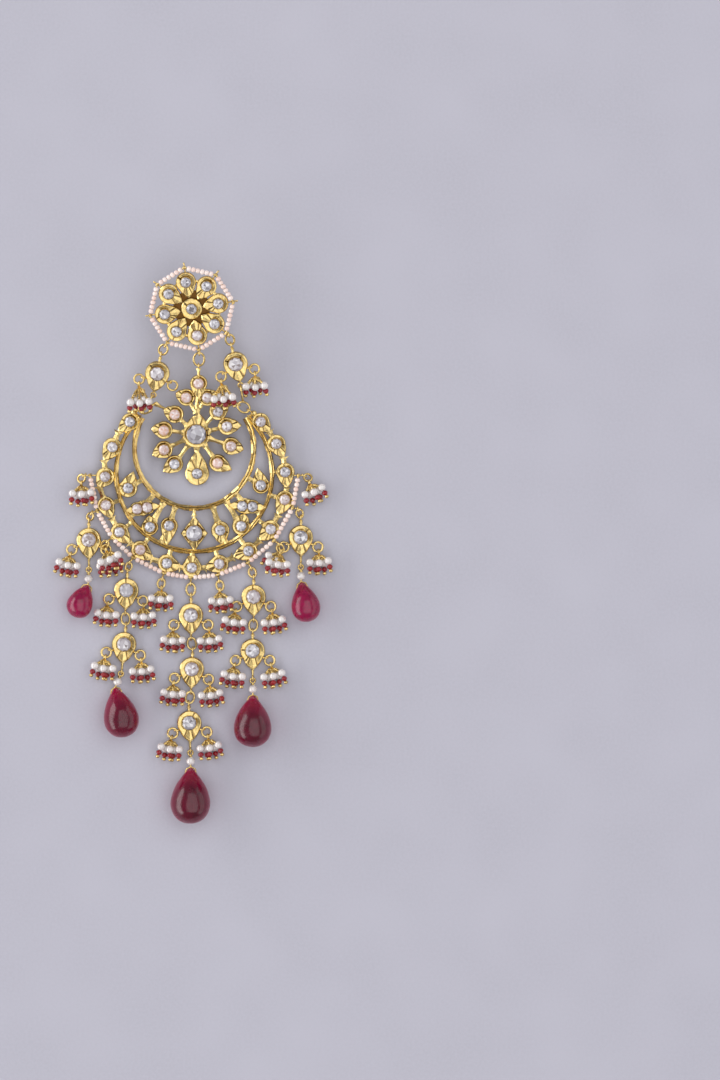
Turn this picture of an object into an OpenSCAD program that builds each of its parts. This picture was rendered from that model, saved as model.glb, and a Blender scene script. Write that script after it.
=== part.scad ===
// Chandbali earring, the left one of a pair, lying face up.
// The stud stands on its post. A rosette hangs from it, a crescent hangs from the rosette's arms,
// and five strands of leaf links with red drops lie below. +Y is the top, +Z faces the viewer.

/* [Stud] */
// Distance from the stud's centre to the centres of its petals
stud_reach = 6.8; // [6.2:0.1:8]
// Radius of the round end of a stud petal
stud_petal_r = 2.3; // [1.9:0.1:2.5]
// Number of stud petals, and of sides of its pearl string
stud_petals = 8; // [7:1:8]
// Turn of the first petal
stud_turn = 11.5; // [0:0.5:20]
// Radius of the corners of the stud's pearl string
stud_string_r = 10.45; // [10.2:0.05:12]
// Radius of the collet in the middle of the stud
stud_collet_r = 2.4; // [2:0.1:2.6]
// Lean of the stud on its post, towards the rosette
stud_lean = 12; // [4:1:18]

/* [Ear post] */
// Length of the ear post below the stud
post_len = 9.5; // [8:0.5:12]
// Radius of the ear post
post_r = 0.45; // [0.4:0.05:0.6]

/* [Rosette] */
// Distance from the centre of the rosette to its long petals
rosette_reach = 9; // [8.6:0.1:9.8]
// Radius of a rosette petal
rosette_petal_r = 2.05; // [1.8:0.05:2.2]
// Radius of the drop-shaped setting in the middle
rosette_core_r = 3.45; // [3.2:0.05:3.7]
// Distance from the rosette's centre to the eye that it hangs from
rosette_neck = 17.15; // [16.8:0.05:18.5]
// Distance between the rosette's centre and the centre of the crescent's rims
crescent_drop = 10; // [9.6:0.1:10.6]

/* [Crescent] */
// Radius of the rim between the two rows of leaves
rim_r = 19.5; // [19.2:0.1:20.4]
// Radius of the inner rim
inner_rim_r = 14.9; // [14.5:0.1:15.2]
// Distance by which the inner rim is set above the outer one
rim_offset = 6.25; // [6:0.05:6.6]
// Width of the rims
rim_w = 0.95; // [0.7:0.05:1.1]
// Radius of the round end of a crescent leaf
crescent_leaf_r = 2.3; // [2:0.05:2.45]
// Radius of the pearl string outside the crescent
string_ring_r = 26; // [25.8:0.1:27.2]

/* [Leaf links] */
// Width of a leaf link
link_w = 6.1; // [5.6:0.1:6.6]
// Length of a leaf link's body
link_len = 8; // [7.4:0.1:9]
// Length of the neck between a link's body and its top eye
link_neck = 1.9; // [1.7:0.1:2.6]

/* [Settings] */
// Thickness of the cast plates
plate = 0.9; // [0.7:0.05:1]
// Height of the raised borders above a plate
border_h = 0.3; // [0.2:0.05:0.4]
// Width of the raised borders
border_w = 0.4; // [0.3:0.05:0.5]
// Height of the collets above a plate
collet_h = 0.45; // [0.35:0.05:0.6]
// Wall of the collets
collet_wall = 0.3; // [0.25:0.05:0.35]
// Radius of the small stones
stone_r = 1.2; // [1:0.05:1.25]
// Radius of the stones in the leaf links
link_stone_r = 1.65; // [1.4:0.05:1.8]
// Radius of the stone in the middle of the rosette
core_stone_r = 2.35; // [2:0.05:2.5]
// Height of a stone's crown above its collet
crown_h = 0.4; // [0.2:0.05:0.6]
// Gap between a stone and its collet
stone_gap = 0.05; // [0.03:0.01:0.1]

/* [Wire] */
// Radius of the wire of the eyes
eye_wire = 0.2; // [0.16:0.02:0.24]
// Radius of the wire of the jump rings
ring_wire = 0.28; // [0.24:0.02:0.32]
// Play of a jump ring's wire in an eye
eye_play = 0.14; // [0.1:0.02:0.2]
// Length from eye to eye of a jump ring between two leaf links
ring_pitch = 2.9; // [2.6:0.1:3.4]
// Length from eye to eye of the ring that carries the rosette
rosette_ring = 3.6; // [3.4:0.1:4.4]
// Radius of the pearl strings
string_r = 0.55; // [0.45:0.05:0.6]

/* [Tassels and drops] */
// Radius of a tassel pearl
pearl_r = 1.02; // [0.9:0.02:1.1]
// Radius of a red bead
red_r = 0.7; // [0.6:0.02:0.76]
// Radius of a gold bead
gold_r = 0.55; // [0.45:0.01:0.6]
// Half the width of a tassel at its pearls
tassel_half_w = 2.4; // [2.2:0.1:2.8]
// Distance from a tassel's eye to its pearls
tassel_reach = 2.6; // [2.4:0.1:3.4]
// Radius of the pearl above a drop
drop_pearl_r = 1.1; // [1:0.05:1.2]
// Width of the middle drop
drop_w = 9.9; // [9:0.1:10.5]
// Length of the middle drop
drop_len = 14.4; // [13.5:0.1:15.5]

/* [Hidden] */
$fn = 48;

// Eyes, rings and the level at which flat pieces rest
gap = 0.1;
eye_hole = ring_wire + eye_play;
eye_r = eye_hole + eye_wire;
eye_out = eye_r + eye_wire;
rest_z = eye_out;
string_z = plate / 2 - 0.03;
post_wire = 0.2;
post_wire_z = string_z - string_r - gap - post_wire;
link_r = link_w / 2;
collet_r = stone_r + stone_gap + collet_wall;
link_collet_r = link_stone_r + stone_gap + collet_wall;
core_collet_r = core_stone_r + stone_gap + collet_wall;
centre_stone_r = 1.9;
centre_collet_r = centre_stone_r + stone_gap + collet_wall;
eye_reach = string_r + gap + eye_out;
// How far a post runs into an eye, into a petal, and past the pearl string as a prong
eye_root = 0.6 * eye_r;
post_root = 0.8;
prong_out = 0.95;
// How far raised parts run into their plate
sink = 0.05;

// Colours
gold = "goldenrod";
pale = "lavender";
pearl_white = "seashell";
ruby = "firebrick";

// Turning and placing of points
function spin(p, a) = [p.x * cos(a) - p.y * sin(a), p.x * sin(a) + p.y * cos(a), p.z];
function tilt(p, a) = [p.x, p.y * cos(a) - p.z * sin(a), p.y * sin(a) + p.z * cos(a)];
function placed(at, lean, slope, p) = at + spin(tilt(p, slope), lean);
function polar(r, a, z = 0) = [r * cos(a), r * sin(a), z];
function down(len) = [0, -len, 0];

// Stud: its centre, its eyes, and the pad that the post grows from
post_gap = 0.02;
stud_z = (post_len + plate / 2 + post_gap) * cos(stud_lean) + post_r * sin(stud_lean);
stud_at = [-0.1, 58.45, stud_z];
stud_pitch = 360 / stud_petals;
stud_corner_turn = stud_turn - 2;
stud_eye_r = stud_string_r + eye_out;
function stud_corner(i) = stud_corner_turn + i * stud_pitch;
function stud_pt(p) = placed(stud_at, 0, stud_lean, p);
// Corners that carry an eye: left, bottom and right
STUD_EYES = [stud_petals - 3, stud_petals - 2, stud_petals - 1];
// Lean of the ring under each of those eyes
STUD_RING_LEAN = [-29, -5, 13];
// Slope of the ring under each of those eyes
STUD_RING_SLOPE = [30, 28, 30];
function stud_eye(k) = stud_pt(polar(stud_eye_r, stud_corner(STUD_EYES[k])));
side_ring = 2.9;
function stud_ring_len(k) = k == 1 ? rosette_ring : side_ring;
function stud_ring_end(k) =
    placed(stud_eye(k), STUD_RING_LEAN[k], STUD_RING_SLOPE[k], down(stud_ring_len(k)));

// Rosette: its eye, its slope down to where its lowest petal rests, and its petals
rosette_eye = stud_ring_end(1);
rosette_low = 1.1 * rosette_reach + 1.34 * rosette_petal_r;
rosette_slope = asin((rosette_eye.z - rest_z) / (rosette_neck + rosette_low));
rosette_side = 0.6;
function rosette_pt(p) =
    placed(rosette_eye, 0, rosette_slope, p + [-rosette_side, -rosette_neck, 0]);
// Columns: angle, distance as a share of rosette_reach, way of the tip,
// radius and tip length as shares of rosette_petal_r
ROSETTE = [
    [137, 0.815, 156, 1.00, 1.5],
    [173, 0.910, 173, 1.00, 1.55],
    [205.5, 1.000, 206, 0.98, 1.65],
    [233.7, 1.035, 215, 0.98, 1.75],
    [270.7, 1.100, 90, 1.34, 3.0],
    [305.9, 0.995, 333, 0.98, 1.95],
    [340.8, 1.015, 344, 1.00, 1.6],
    [14.7, 0.875, 4, 1.00, 1.8],
    [46.9, 0.875, 30, 1.00, 1.5],
    [105.1, 1.065, 159, 0.96, 1.4],
    [73.4, 1.070, 19, 0.96, 1.5],
    [87.2, 1.420, 268, 0.96, 2.1]
];
// Way and length of the tip of the middle setting, and the width of the stems
core_way = 85;
core_tip_share = 1.6;
stem_w = 0.9;
arm_w = 0.8;
mast_w = 1;
function rosette_stone(row) = polar(row[1] * rosette_reach, row[0]);
// Ends of the two arms, as shares of rosette_reach
ARM_SHARE = [[-1.233, 0.806, 0], [1.156, 0.84, 0]];
function arm_end(k) = ARM_SHARE[k] * rosette_reach;

// Crescent: horns, slope and middle
horn_angle = [131, 49];
horn_eye_r = rim_r + 1.4;
rim_from = 134;
horn_pad_r = 0.8;
elbow_len = 0.35;
function horn_eye(k) = polar(horn_eye_r, horn_angle[k]);
crescent_side = -0.6;
horn_drop = 1.25;
function unit(v) = v / norm(v);
function way_angle(v) = atan2(v.y, v.x);
// Way from a rosette arm's eye to the horn's, seen from above
function horn_way(k) =
    unit(horn_eye(k) + [crescent_side, -crescent_drop, 0] - arm_end(k));
edge_eye_r = string_ring_r + eye_reach;
rim_centre = rosette_pt([crescent_side, -crescent_drop, 0]);
horn_z = rosette_pt(arm_end(0)).z - horn_drop;
crescent_slope = asin((horn_z - rest_z) / (horn_eye(0).y + edge_eye_r));
crescent_at = [rim_centre.x, rim_centre.y, horn_z - horn_eye(0).y * sin(crescent_slope)];
function crescent_pt(p) = placed(crescent_at, 0, crescent_slope, p);
// Outer leaves. Columns: angle, distance as a share of rim_r, way of the tip,
// radius and tip length as shares of crescent_leaf_r
OUTER = [
    [141, 1.055, 220, 0.96, 1.8],
    [162, 1.100, 238, 1.02, 1.85],
    [182, 1.140, 236, 1.02, 1.4],
    [199.6, 1.200, 294, 0.94, 1.7],
    [218, 1.215, 312, 1.00, 1.75],
    [234.6, 1.195, 318, 1.00, 1.75],
    [253, 1.200, 340, 1.00, 1.6],
    [268.5, 1.205, 90, 1.06, 1.55],
    [285.5, 1.200, 198, 1.00, 1.65],
    [305, 1.210, 203, 1.00, 1.95],
    [324, 1.210, 226, 1.02, 1.85],
    [344, 1.205, 247, 1.00, 2.0],
    [1, 1.165, 276, 1.02, 1.85],
    [20, 1.120, 298, 1.00, 1.85],
    [38, 1.080, 312, 0.96, 1.6]
];
// Inner leaves, about the centre of the inner rim. Columns: angle, distance as a share of
// inner_rim_r, way of the tip, radius and tip length as shares of crescent_leaf_r,
// length of a second tip on the other side
INNER = [
    [210.9, 1.290, 72, 1.02, 1.95, 0],
    [228.9, 1.325, 9, 0.84, 2.1, 1.95],
    [240.5, 1.510, 92, 0.92, 1.3, 0],
    [252, 1.360, 263, 0.94, 2.25, 0],
    [287.7, 1.435, 278, 1.00, 1.6, 0],
    [301.2, 1.520, 76, 1.00, 1.5, 0],
    [312.6, 1.315, 356, 0.84, 2.2, 2.3],
    [331.2, 1.275, 101, 0.94, 1.95, 0]
];
// Place of the middle setting, as a share of inner_rim_r below the inner rim's centre
MIDDLE = 1.42;
middle_half_w = 3.4;
middle_half_h = 4.5;
middle_inset = 2.4;
// Angles of the corners of the pearl string about the crescent
CORNERS = [181, 201, 218, 234, 253, 268, 283, 301, 320, 341, 359];
// Corners that carry a tassel, with its ring's lean and the tassel's own lean
EDGE_TASSELS = [
    [0, -45, 2],
    [2, -40, 22],
    [4, -12, 0],
    [6, 10, 3],
    [8, 20, -6],
    [10, 60, 22]
];
// Corners that carry a strand
STRAND_CORNER = [1, 3, 5, 7, 9];
edge_ring = 2.4;
function corner_eye(i) = crescent_pt(polar(edge_eye_r, CORNERS[i]));

// Leaf link: from the top eye to the bottom one
link_centre = link_neck + link_r;
link_tip = link_neck + link_len;
// Distance from the tip of a link to its bottom eye
short_eye = 0.7;
long_eye = 1.9;
neck_r = 0.35;
neck_root = 0.3;
foot_r = 0.3;
foot_root = 0.8;
ridge_r = 0.55;
ridge_end_r = 0.2;
ridge_stop = 0.6;
side_eye = [link_r * 0.93 + eye_r * 0.6, -(link_neck + 0.6 * link_len), 0];
tassel_ring_r = 1.22;
// Way from a side eye to the middle of its ring
side_ring_turn = 32;
function side_ring_mid(s) =
    [s * side_eye.x, side_eye.y, 0]
    + tassel_ring_r * [s * cos(side_ring_turn), -sin(side_ring_turn), 0];

// Strands: lean and length of the first ring
STRAND_START = [[-22, 2.1], [-16, 2.1], [2, 3], [16, 2.4], [17, 2.3]];
// For each strand, the leans of its links
LINK_LEAN = [[0], [-3, -5], [0, -2, 2], [0, 0], [0]];
// For each strand, the leans of the rings between its links
RING_LEAN = [[], [3], [8, -12], [-5], []];
function first_ring_slope(s) =
    asin((corner_eye(STRAND_CORNER[s]).z - rest_z) / STRAND_START[s][1]);
function first_link(s) =
    placed(corner_eye(STRAND_CORNER[s]), STRAND_START[s][0], first_ring_slope(s),
        down(STRAND_START[s][1]));
function link_low(at, lean, slope, eye) = placed(at, lean, slope, down(link_tip + eye));
function link_at(s, i) = i == 0
    ? first_link(s)
    : placed(link_low(link_at(s, i - 1), LINK_LEAN[s][i - 1], 0, short_eye),
        RING_LEAN[s][i - 1], 0, down(ring_pitch));
function last(s) = len(LINK_LEAN[s]) - 1;
function strand_end(s) = link_low(link_at(s, last(s)), LINK_LEAN[s][last(s)], 0, long_eye);

// Upper links: lean and slope of each, from the rings under the stud to the horn rings
UPPER_LEAN = [-11, 12.7];
UPPER_SLOPE = [16, 16];
function upper_at(k) = stud_ring_end(2 * k);
function upper_low(k) = link_low(upper_at(k), UPPER_LEAN[k], UPPER_SLOPE[k], short_eye);
function horn_pair(k) = [rosette_pt(arm_end(k)), crescent_pt(horn_eye(k))];
function horn_mid(k) = (horn_pair(k)[0] + horn_pair(k)[1]) / 2;
function horn_ring_r(k) = norm(horn_pair(k)[0] - horn_pair(k)[1]) / 2;
// The point of the horn ring nearest to the upper link
function horn_normal(k) =
    let (v = unit(horn_pair(k)[1] - horn_pair(k)[0]), s = unit(cross([0, 0, 1], v)))
    cross(v, s);
function horn_top(k) =
    let (
        n = horn_normal(k),
        w = upper_low(k) - horn_mid(k),
        flat = w - n * (w * n)
    )
    horn_mid(k) + horn_ring_r(k) * unit(flat);

// Tassels. Columns: place across as a share of tassel_half_w, distance of the pearl as a
// share of tassel_reach, layer (0 below, 1 above), lean of the beads below the pearl
PINS = [
    [-0.98, 0.93, 1, -6],
    [-0.02, 1.08, 1, -12],
    [0.92, 0.96, 1, 10],
    [-0.48, 1.10, 0, 4],
    [0.46, 1.14, 0, -2]
];
layer_h = 1.72;
pin_wire = 0.22;

// Drops. Columns: width and length as shares of the middle drop's,
// lean of the wire above it, lean of the drop
DROPS = [
    [0.646, 0.62, -2, -22],
    [0.879, 0.90, -22, 12],
    [1.000, 1.00, 2, 0],
    [0.950, 0.92, 1, 0],
    [0.727, 0.72, 1, 11]
];
// Height of a drop's tip as a share of its width
tip_share = 0.24;
drop_bore_r = 0.3;
drop_wire = 0.2;
solder_r = 0.26;
drop_bore_at = 1.7;
wire_neck = 0.45;
loop_neck = 0.5;
bead_gap = 0.12;
loop_to_pearl = eye_r + loop_neck + drop_pearl_r;
pearl_to_tip = drop_pearl_r + wire_neck;
function drop_width(s) = DROPS[s][0] * drop_w;
function drop_length(s) = DROPS[s][1] * drop_len;
function drop_tip_z(s) = tip_share * drop_width(s);
function wire_rise(s) =
    asin((drop_tip_z(s) - rest_z) / (eye_r + loop_to_pearl + pearl_to_tip));
function wire_pt(s, len) = placed(strand_end(s), DROPS[s][2], -wire_rise(s), down(len));
function drop_tip(s) = wire_pt(s, eye_r + loop_to_pearl + pearl_to_tip);
function drop_rise(s) = asin((0.5 - tip_share) * drop_width(s) / (0.62 * drop_length(s)));
// Radius of a drop at t, from 0 at the tip to 1 at the round end
pear_power = 1.15;
function pear(t) = sin(180 * t) * pow(sin(90 * t), pear_power);
pear_max = max([for (t = [0.5:0.01:0.8]) pear(t)]);
function drop_radius(s, t) = drop_width(s) / 2 * pear(t) / pear_max;
function drop_depth(s, t) = drop_length(s) * (1 - cos(180 * t)) / 2;
leg_half = 1.42;

// Building blocks
module put(at, lean = 0, slope = 0) {
    translate(at) rotate([0, 0, lean]) rotate([slope, 0, 0]) children();
}

module torus(ring, wire) {
    rotate_extrude() translate([ring, 0]) circle(r = wire, $fn = 24);
}

// A straight wire between two points, with a solder bead of its own size at the far one
module rod(a, b, wire, bead = 0, sides = 8) {
    v = b - a;
    translate(a)
        rotate([0, acos(v.z / norm(v)), atan2(v.y, v.x)])
            cylinder(h = norm(v), r = wire, $fn = sides);
    if (bead > 0) translate(b) sphere(r = bead, $fn = 24);
}

// A round ring whose wire passes through both points
module ring_between(a, b, wire, roll = 0) {
    v = b - a;
    translate((a + b) / 2)
        rotate([0, -asin(v.z / norm(v)), atan2(v.y, v.x)])
            rotate([roll, 0, 0])
                torus(norm(v) / 2, wire);
}

// An eye whose hole lets a ring through that lies along the given way
module eye(at, way) {
    translate(at) rotate([0, 0, way]) rotate([90, 0, 0]) torus(eye_r, eye_wire);
}

// A round end with a tip along +X
module drop_outline(r, reach) {
    a = acos(r / reach);
    circle(r = r);
    polygon([[0, 0], [r * cos(a), r * sin(a)], [reach, 0], [r * cos(a), -r * sin(a)]]);
}

// A cast leaf: a plate with a raised border and a ridge that runs into its tip
module leaf(r, reach, back = 0) {
    inner = r - border_w;
    translate([0, 0, -plate / 2]) linear_extrude(plate) {
        drop_outline(r, reach);
        if (back > 0) rotate(180) drop_outline(r, back);
    }
    translate([0, 0, plate / 2 - sink]) linear_extrude(border_h + sink)
        difference() {
            union() {
                drop_outline(r, reach);
                if (back > 0) rotate(180) drop_outline(r, back);
            }
            drop_outline(inner, inner * reach / r);
            if (back > 0) rotate(180) drop_outline(inner, inner * back / r);
        }
}

// The ring that holds a stone
module collet(r) {
    translate([0, 0, plate / 2 - sink]) difference() {
        cylinder(h = collet_h + sink, r = r);
        translate([0, 0, -1]) cylinder(h = collet_h + 2, r = r - collet_wall);
    }
}

// A cut stone in its collet: a straight girdle, eight crown facets and a table
module stone(r) {
    girdle = collet_h - stone_gap;
    translate([0, 0, plate / 2 + stone_gap]) {
        cylinder(h = girdle, r = r, $fn = 8);
        translate([0, 0, girdle]) cylinder(h = crown_h, r1 = r, r2 = 0.6 * r, $fn = 8);
    }
}

module bar(a, b, w) {
    v = b - a;
    translate([a.x, a.y, -plate / 2])
        rotate([0, 0, atan2(v.y, v.x)])
            translate([0, -w / 2, 0])
                cube([norm([v.x, v.y]), w, plate]);
}

module arc_bar(r, from, to) {
    rotate([0, 0, from])
        rotate_extrude(angle = to - from, $fn = 120)
            translate([r - rim_w / 2, -plate / 2])
                square([rim_w, plate + border_h]);
}

// The wire under the pearl string that ends in an eye or a prong
module string_post(a, from, to) {
    rotate([0, 0, a])
        translate([from, 0, post_wire_z])
            rotate([0, 90, 0])
                cylinder(h = to - from, r = post_wire, $fn = 24);
}

// A pearl string's solid: a tube of eight sides along points of its level
module string_tube(route, closed) {
    n = len(route);
    sides = 8;
    ways = [
        for (i = [0:n - 1])
            let (
                a = closed ? route[(i + n - 1) % n] : route[max(i - 1, 0)],
                b = closed ? route[(i + 1) % n] : route[min(i + 1, n - 1)]
            )
            unit([b.x - a.x, b.y - a.y, 0])
    ];
    points = [
        for (i = [0:n - 1])
            for (j = [0:sides - 1])
                let (a = 360 * j / sides, out = [ways[i].y, -ways[i].x, 0])
                route[i] + string_r * (out * cos(a) + [0, 0, sin(a)])
    ];
    spans = closed ? n : n - 1;
    walls = [
        for (i = [0:spans - 1])
            for (j = [0:sides - 1])
                let (k = (i + 1) % n, m = (j + 1) % sides)
                [i * sides + j, i * sides + m, k * sides + m, k * sides + j]
    ];
    start = [for (j = [0:sides - 1]) sides - 1 - j];
    finish = [for (j = [0:sides - 1]) (n - 1) * sides + j];
    polyhedron(points, closed ? walls : concat(walls, [start], [finish]));
}

// A leaf link hung from the origin, which is the middle of its top eye
module link_body(low_eye, flat_eye = false) {
    translate([0, -link_centre, 0]) rotate([0, 0, -90]) {
        leaf(link_r, link_len - link_r);
        collet(link_collet_r);
        translate([link_collet_r - 0.1, 0, plate / 2 - sink])
            rotate([0, 90, 0])
                cylinder(h = link_len - link_r - link_collet_r - ridge_stop, r1 = ridge_r,
                    r2 = ridge_end_r, $fn = 6);
    }
    eye([0, 0, 0], 90);
    translate([0, -link_neck - neck_root, 0]) rotate([-90, 0, 0])
        cylinder(h = link_neck + neck_root - eye_r, r = neck_r, $fn = 24);
    low = [0, -link_tip - low_eye, 0];
    if (flat_eye) translate(low) torus(eye_r, eye_wire);
    else eye(low, 90);
    translate([0, low.y + eye_r, 0]) rotate([-90, 0, 0])
        cylinder(h = low_eye - eye_r + foot_root, r = foot_r, $fn = 24);
    for (s = [-1, 1]) eye([s * side_eye.x, side_eye.y, 0], 0);
}

module link_stone() {
    translate([0, -link_centre, 0]) rotate([0, 0, 22.5]) stone(link_stone_r);
}

// Five bead pins on one wire eye, which hangs from a ring's wire at the origin
module tassel(lift, side = 1) {
    eye([0, 0, 0], 90);
    head = [0, -eye_r, 0];
    for (p = PINS) {
        pearl = [
            side * p[0] * tassel_half_w,
            -p[1] * tassel_reach,
            lift + (p[2] - 0.5) * layer_h
        ];
        way = [side * sin(p[3]), -cos(p[3]), 0];
        red = pearl + way * (pearl_r + red_r * 0.75);
        rod(head, pearl, pin_wire, pin_wire, 24);
        translate(pearl) sphere(r = pearl_r);
        translate(red) sphere(r = red_r, $fn = 32);
        translate(red + way * (red_r + gold_r) * 0.8) sphere(r = gold_r, $fn = 32);
    }
}

// Stud
module stud_flower() {
    color(gold) put(stud_at, 0, stud_lean) {
        translate([0, 0, -plate / 2]) cylinder(h = plate, r = stud_collet_r + 0.6);
        collet(collet_r);
        translate([0, 0, plate / 2 - sink]) difference() {
            cylinder(h = border_h + sink, r = stud_collet_r);
            translate([0, 0, -1]) cylinder(h = 3, r = stud_collet_r - border_w);
        }
        for (i = [0:stud_petals - 1])
            rotate([0, 0, stud_turn + i * stud_pitch])
                translate([stud_reach, 0, 0]) {
                    rotate([0, 0, 180]) leaf(stud_petal_r, stud_reach - stud_collet_r - 0.35);
                    collet(collet_r);
                }
        for (i = [0:stud_petals - 1])
            string_post(stud_corner(i), stud_reach + stud_petal_r - post_root,
                i < stud_petals - 3 ? stud_string_r + prong_out : stud_eye_r - eye_root);
        for (k = [0:2])
            eye(polar(stud_eye_r, stud_corner(STUD_EYES[k])), STUD_RING_LEAN[k] + 90);
    }
}

module stud_centre_stone() {
    color(pale) put(stud_at, 0, stud_lean) stone(stone_r);
}

module stud_petal_stones() {
    color(pale) put(stud_at, 0, stud_lean)
        for (i = [0:stud_petals - 1])
            rotate([0, 0, stud_turn + i * stud_pitch])
                translate([stud_reach, 0, 0])
                    stone(stone_r);
}

module stud_pearl_string() {
    side = 3;
    corners = [for (i = [0:stud_petals - 1]) polar(stud_string_r, stud_corner(i), string_z)];
    route = [
        for (i = [0:stud_petals - 1])
            for (t = [0:side - 1])
                corners[i] + (corners[(i + 1) % stud_petals] - corners[i]) * t / side
    ];
    color(pearl_white) put(stud_at, 0, stud_lean) string_tube(route, true);
}

module ear_post() {
    top = -plate / 2 - post_gap;
    color(gold) put(stud_at, 0, stud_lean) translate([0, 0, top - post_len]) {
        cylinder(h = post_len, r = post_r);
    }
}

// Rings between the stud, the rosette and the upper links
module upper_rings() {
    color(gold) {
        for (k = [0:2]) ring_between(stud_eye(k), stud_ring_end(k), ring_wire);
        for (k = [0:1]) {
            ring_between(upper_low(k), horn_top(k), ring_wire, 90);
            for (s = [-1, 1])
                put(placed(upper_at(k), UPPER_LEAN[k], UPPER_SLOPE[k], side_ring_mid(s)),
                    UPPER_LEAN[k], UPPER_SLOPE[k])
                    torus(tassel_ring_r, ring_wire);
        }
    }
}

module horn_rings() {
    color(gold) for (k = [0:1]) ring_between(horn_pair(k)[0], horn_pair(k)[1], ring_wire);
}

module upper_link(k) {
    color(gold) put(upper_at(k), UPPER_LEAN[k], UPPER_SLOPE[k]) link_body(short_eye, true);
}

module upper_stone(k) {
    color(pale) put(upper_at(k), UPPER_LEAN[k], UPPER_SLOPE[k]) link_stone();
}

// Columns: link (0 left, 1 right), side, lean of the tassel
UPPER_TASSELS = [[0, -1, 2], [1, -1, 6], [1, 1, 4]];
upper_tassel_slope = 30;
module upper_tassels() {
    color(pearl_white) for (row = UPPER_TASSELS) {
        k = row[0];
        slope = UPPER_SLOPE[k];
        mid = placed(upper_at(k), UPPER_LEAN[k], slope, side_ring_mid(row[1]));
        hang = placed(mid, row[2], slope, down(tassel_ring_r));
        put(hang, row[2], upper_tassel_slope) tassel(floor_lift, row[1]);
    }
}

// Rosette
module rosette_frame() {
    color(gold) put(rosette_eye, 0, rosette_slope) translate([-rosette_side, -rosette_neck, 0]) {
        rotate([0, 0, core_way]) leaf(rosette_core_r, core_tip_share * rosette_core_r);
        collet(core_collet_r);
        for (row = ROSETTE) {
            r = row[3] * rosette_petal_r;
            translate(rosette_stone(row)) rotate([0, 0, row[2]]) {
                leaf(r, row[4] * rosette_petal_r);
                collet(collet_r);
            }
        }
        for (i = [0:8])
            bar([0, 0, 0], rosette_stone(ROSETTE[i]) * 0.8, stem_w);
        for (i = [9:11])
            bar([0, rosette_core_r * core_tip_share, 0], rosette_stone(ROSETTE[i]), stem_w);
        bar([0, rosette_core_r, 0], [0, rosette_reach, 0], mast_w);
        for (k = [0:1]) {
            elbow = arm_end(k) - horn_way(k) * (eye_r + elbow_len);
            bar(rosette_stone(ROSETTE[k == 0 ? 0 : 8]), elbow, arm_w);
            translate([elbow.x, elbow.y, -plate / 2]) cylinder(h = plate, r = stem_w / 2);
            bar(elbow, arm_end(k) - horn_way(k) * eye_r, 0.6 * arm_w);
            eye(arm_end(k), way_angle(horn_way(k)));
        }
        eye([rosette_side, rosette_neck, 0], 90);
        bar(rosette_stone(ROSETTE[11]), [rosette_side, rosette_neck - eye_r - sink, 0], 0.7 * mast_w);
    }
}

module rosette_centre_stone() {
    color(pale) put(rosette_eye, 0, rosette_slope)
        translate([-rosette_side, -rosette_neck, 0])
            rotate([0, 0, 22.5]) stone(core_stone_r);
}

module rosette_petal_stones() {
    color(pale) put(rosette_eye, 0, rosette_slope)
        translate([-rosette_side, -rosette_neck, 0])
            for (row = ROSETTE)
                translate(rosette_stone(row)) stone(stone_r);
}

// Crescent
module crescent_leaf(row, centre_y, reach) {
    translate([0, centre_y, 0])
        translate(polar(row[1] * reach, row[0]))
            rotate([0, 0, row[2]])
                leaf(row[3] * crescent_leaf_r, row[4] * crescent_leaf_r,
                    row[5] == undef ? 0 : row[5] * crescent_leaf_r);
}

// Stones of an inner leaf: one, or two side by side in a long one
twin_gap = 0.08;
twin_stone_r = stone_r - 0.03;
twin_collet_r = stone_r + twin_gap + 0.21;
function inner_stones(row) =
    let (
        mid = [0, rim_offset, 0] + polar(row[1] * inner_rim_r, row[0]),
        step = polar(stone_r + twin_gap, row[2])
    )
    row[5] > 0 ? [mid - step, mid + step] : [mid];

module middle_outline() {
    polygon([
        [0, middle_half_h], [0.6 * middle_half_w, 0.4 * middle_half_h],
        [middle_half_w, 0], [0.6 * middle_half_w, -0.4 * middle_half_h],
        [0, -middle_half_h], [-0.6 * middle_half_w, -0.4 * middle_half_h],
        [-middle_half_w, 0], [-0.6 * middle_half_w, 0.4 * middle_half_h]
    ]);
}

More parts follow.
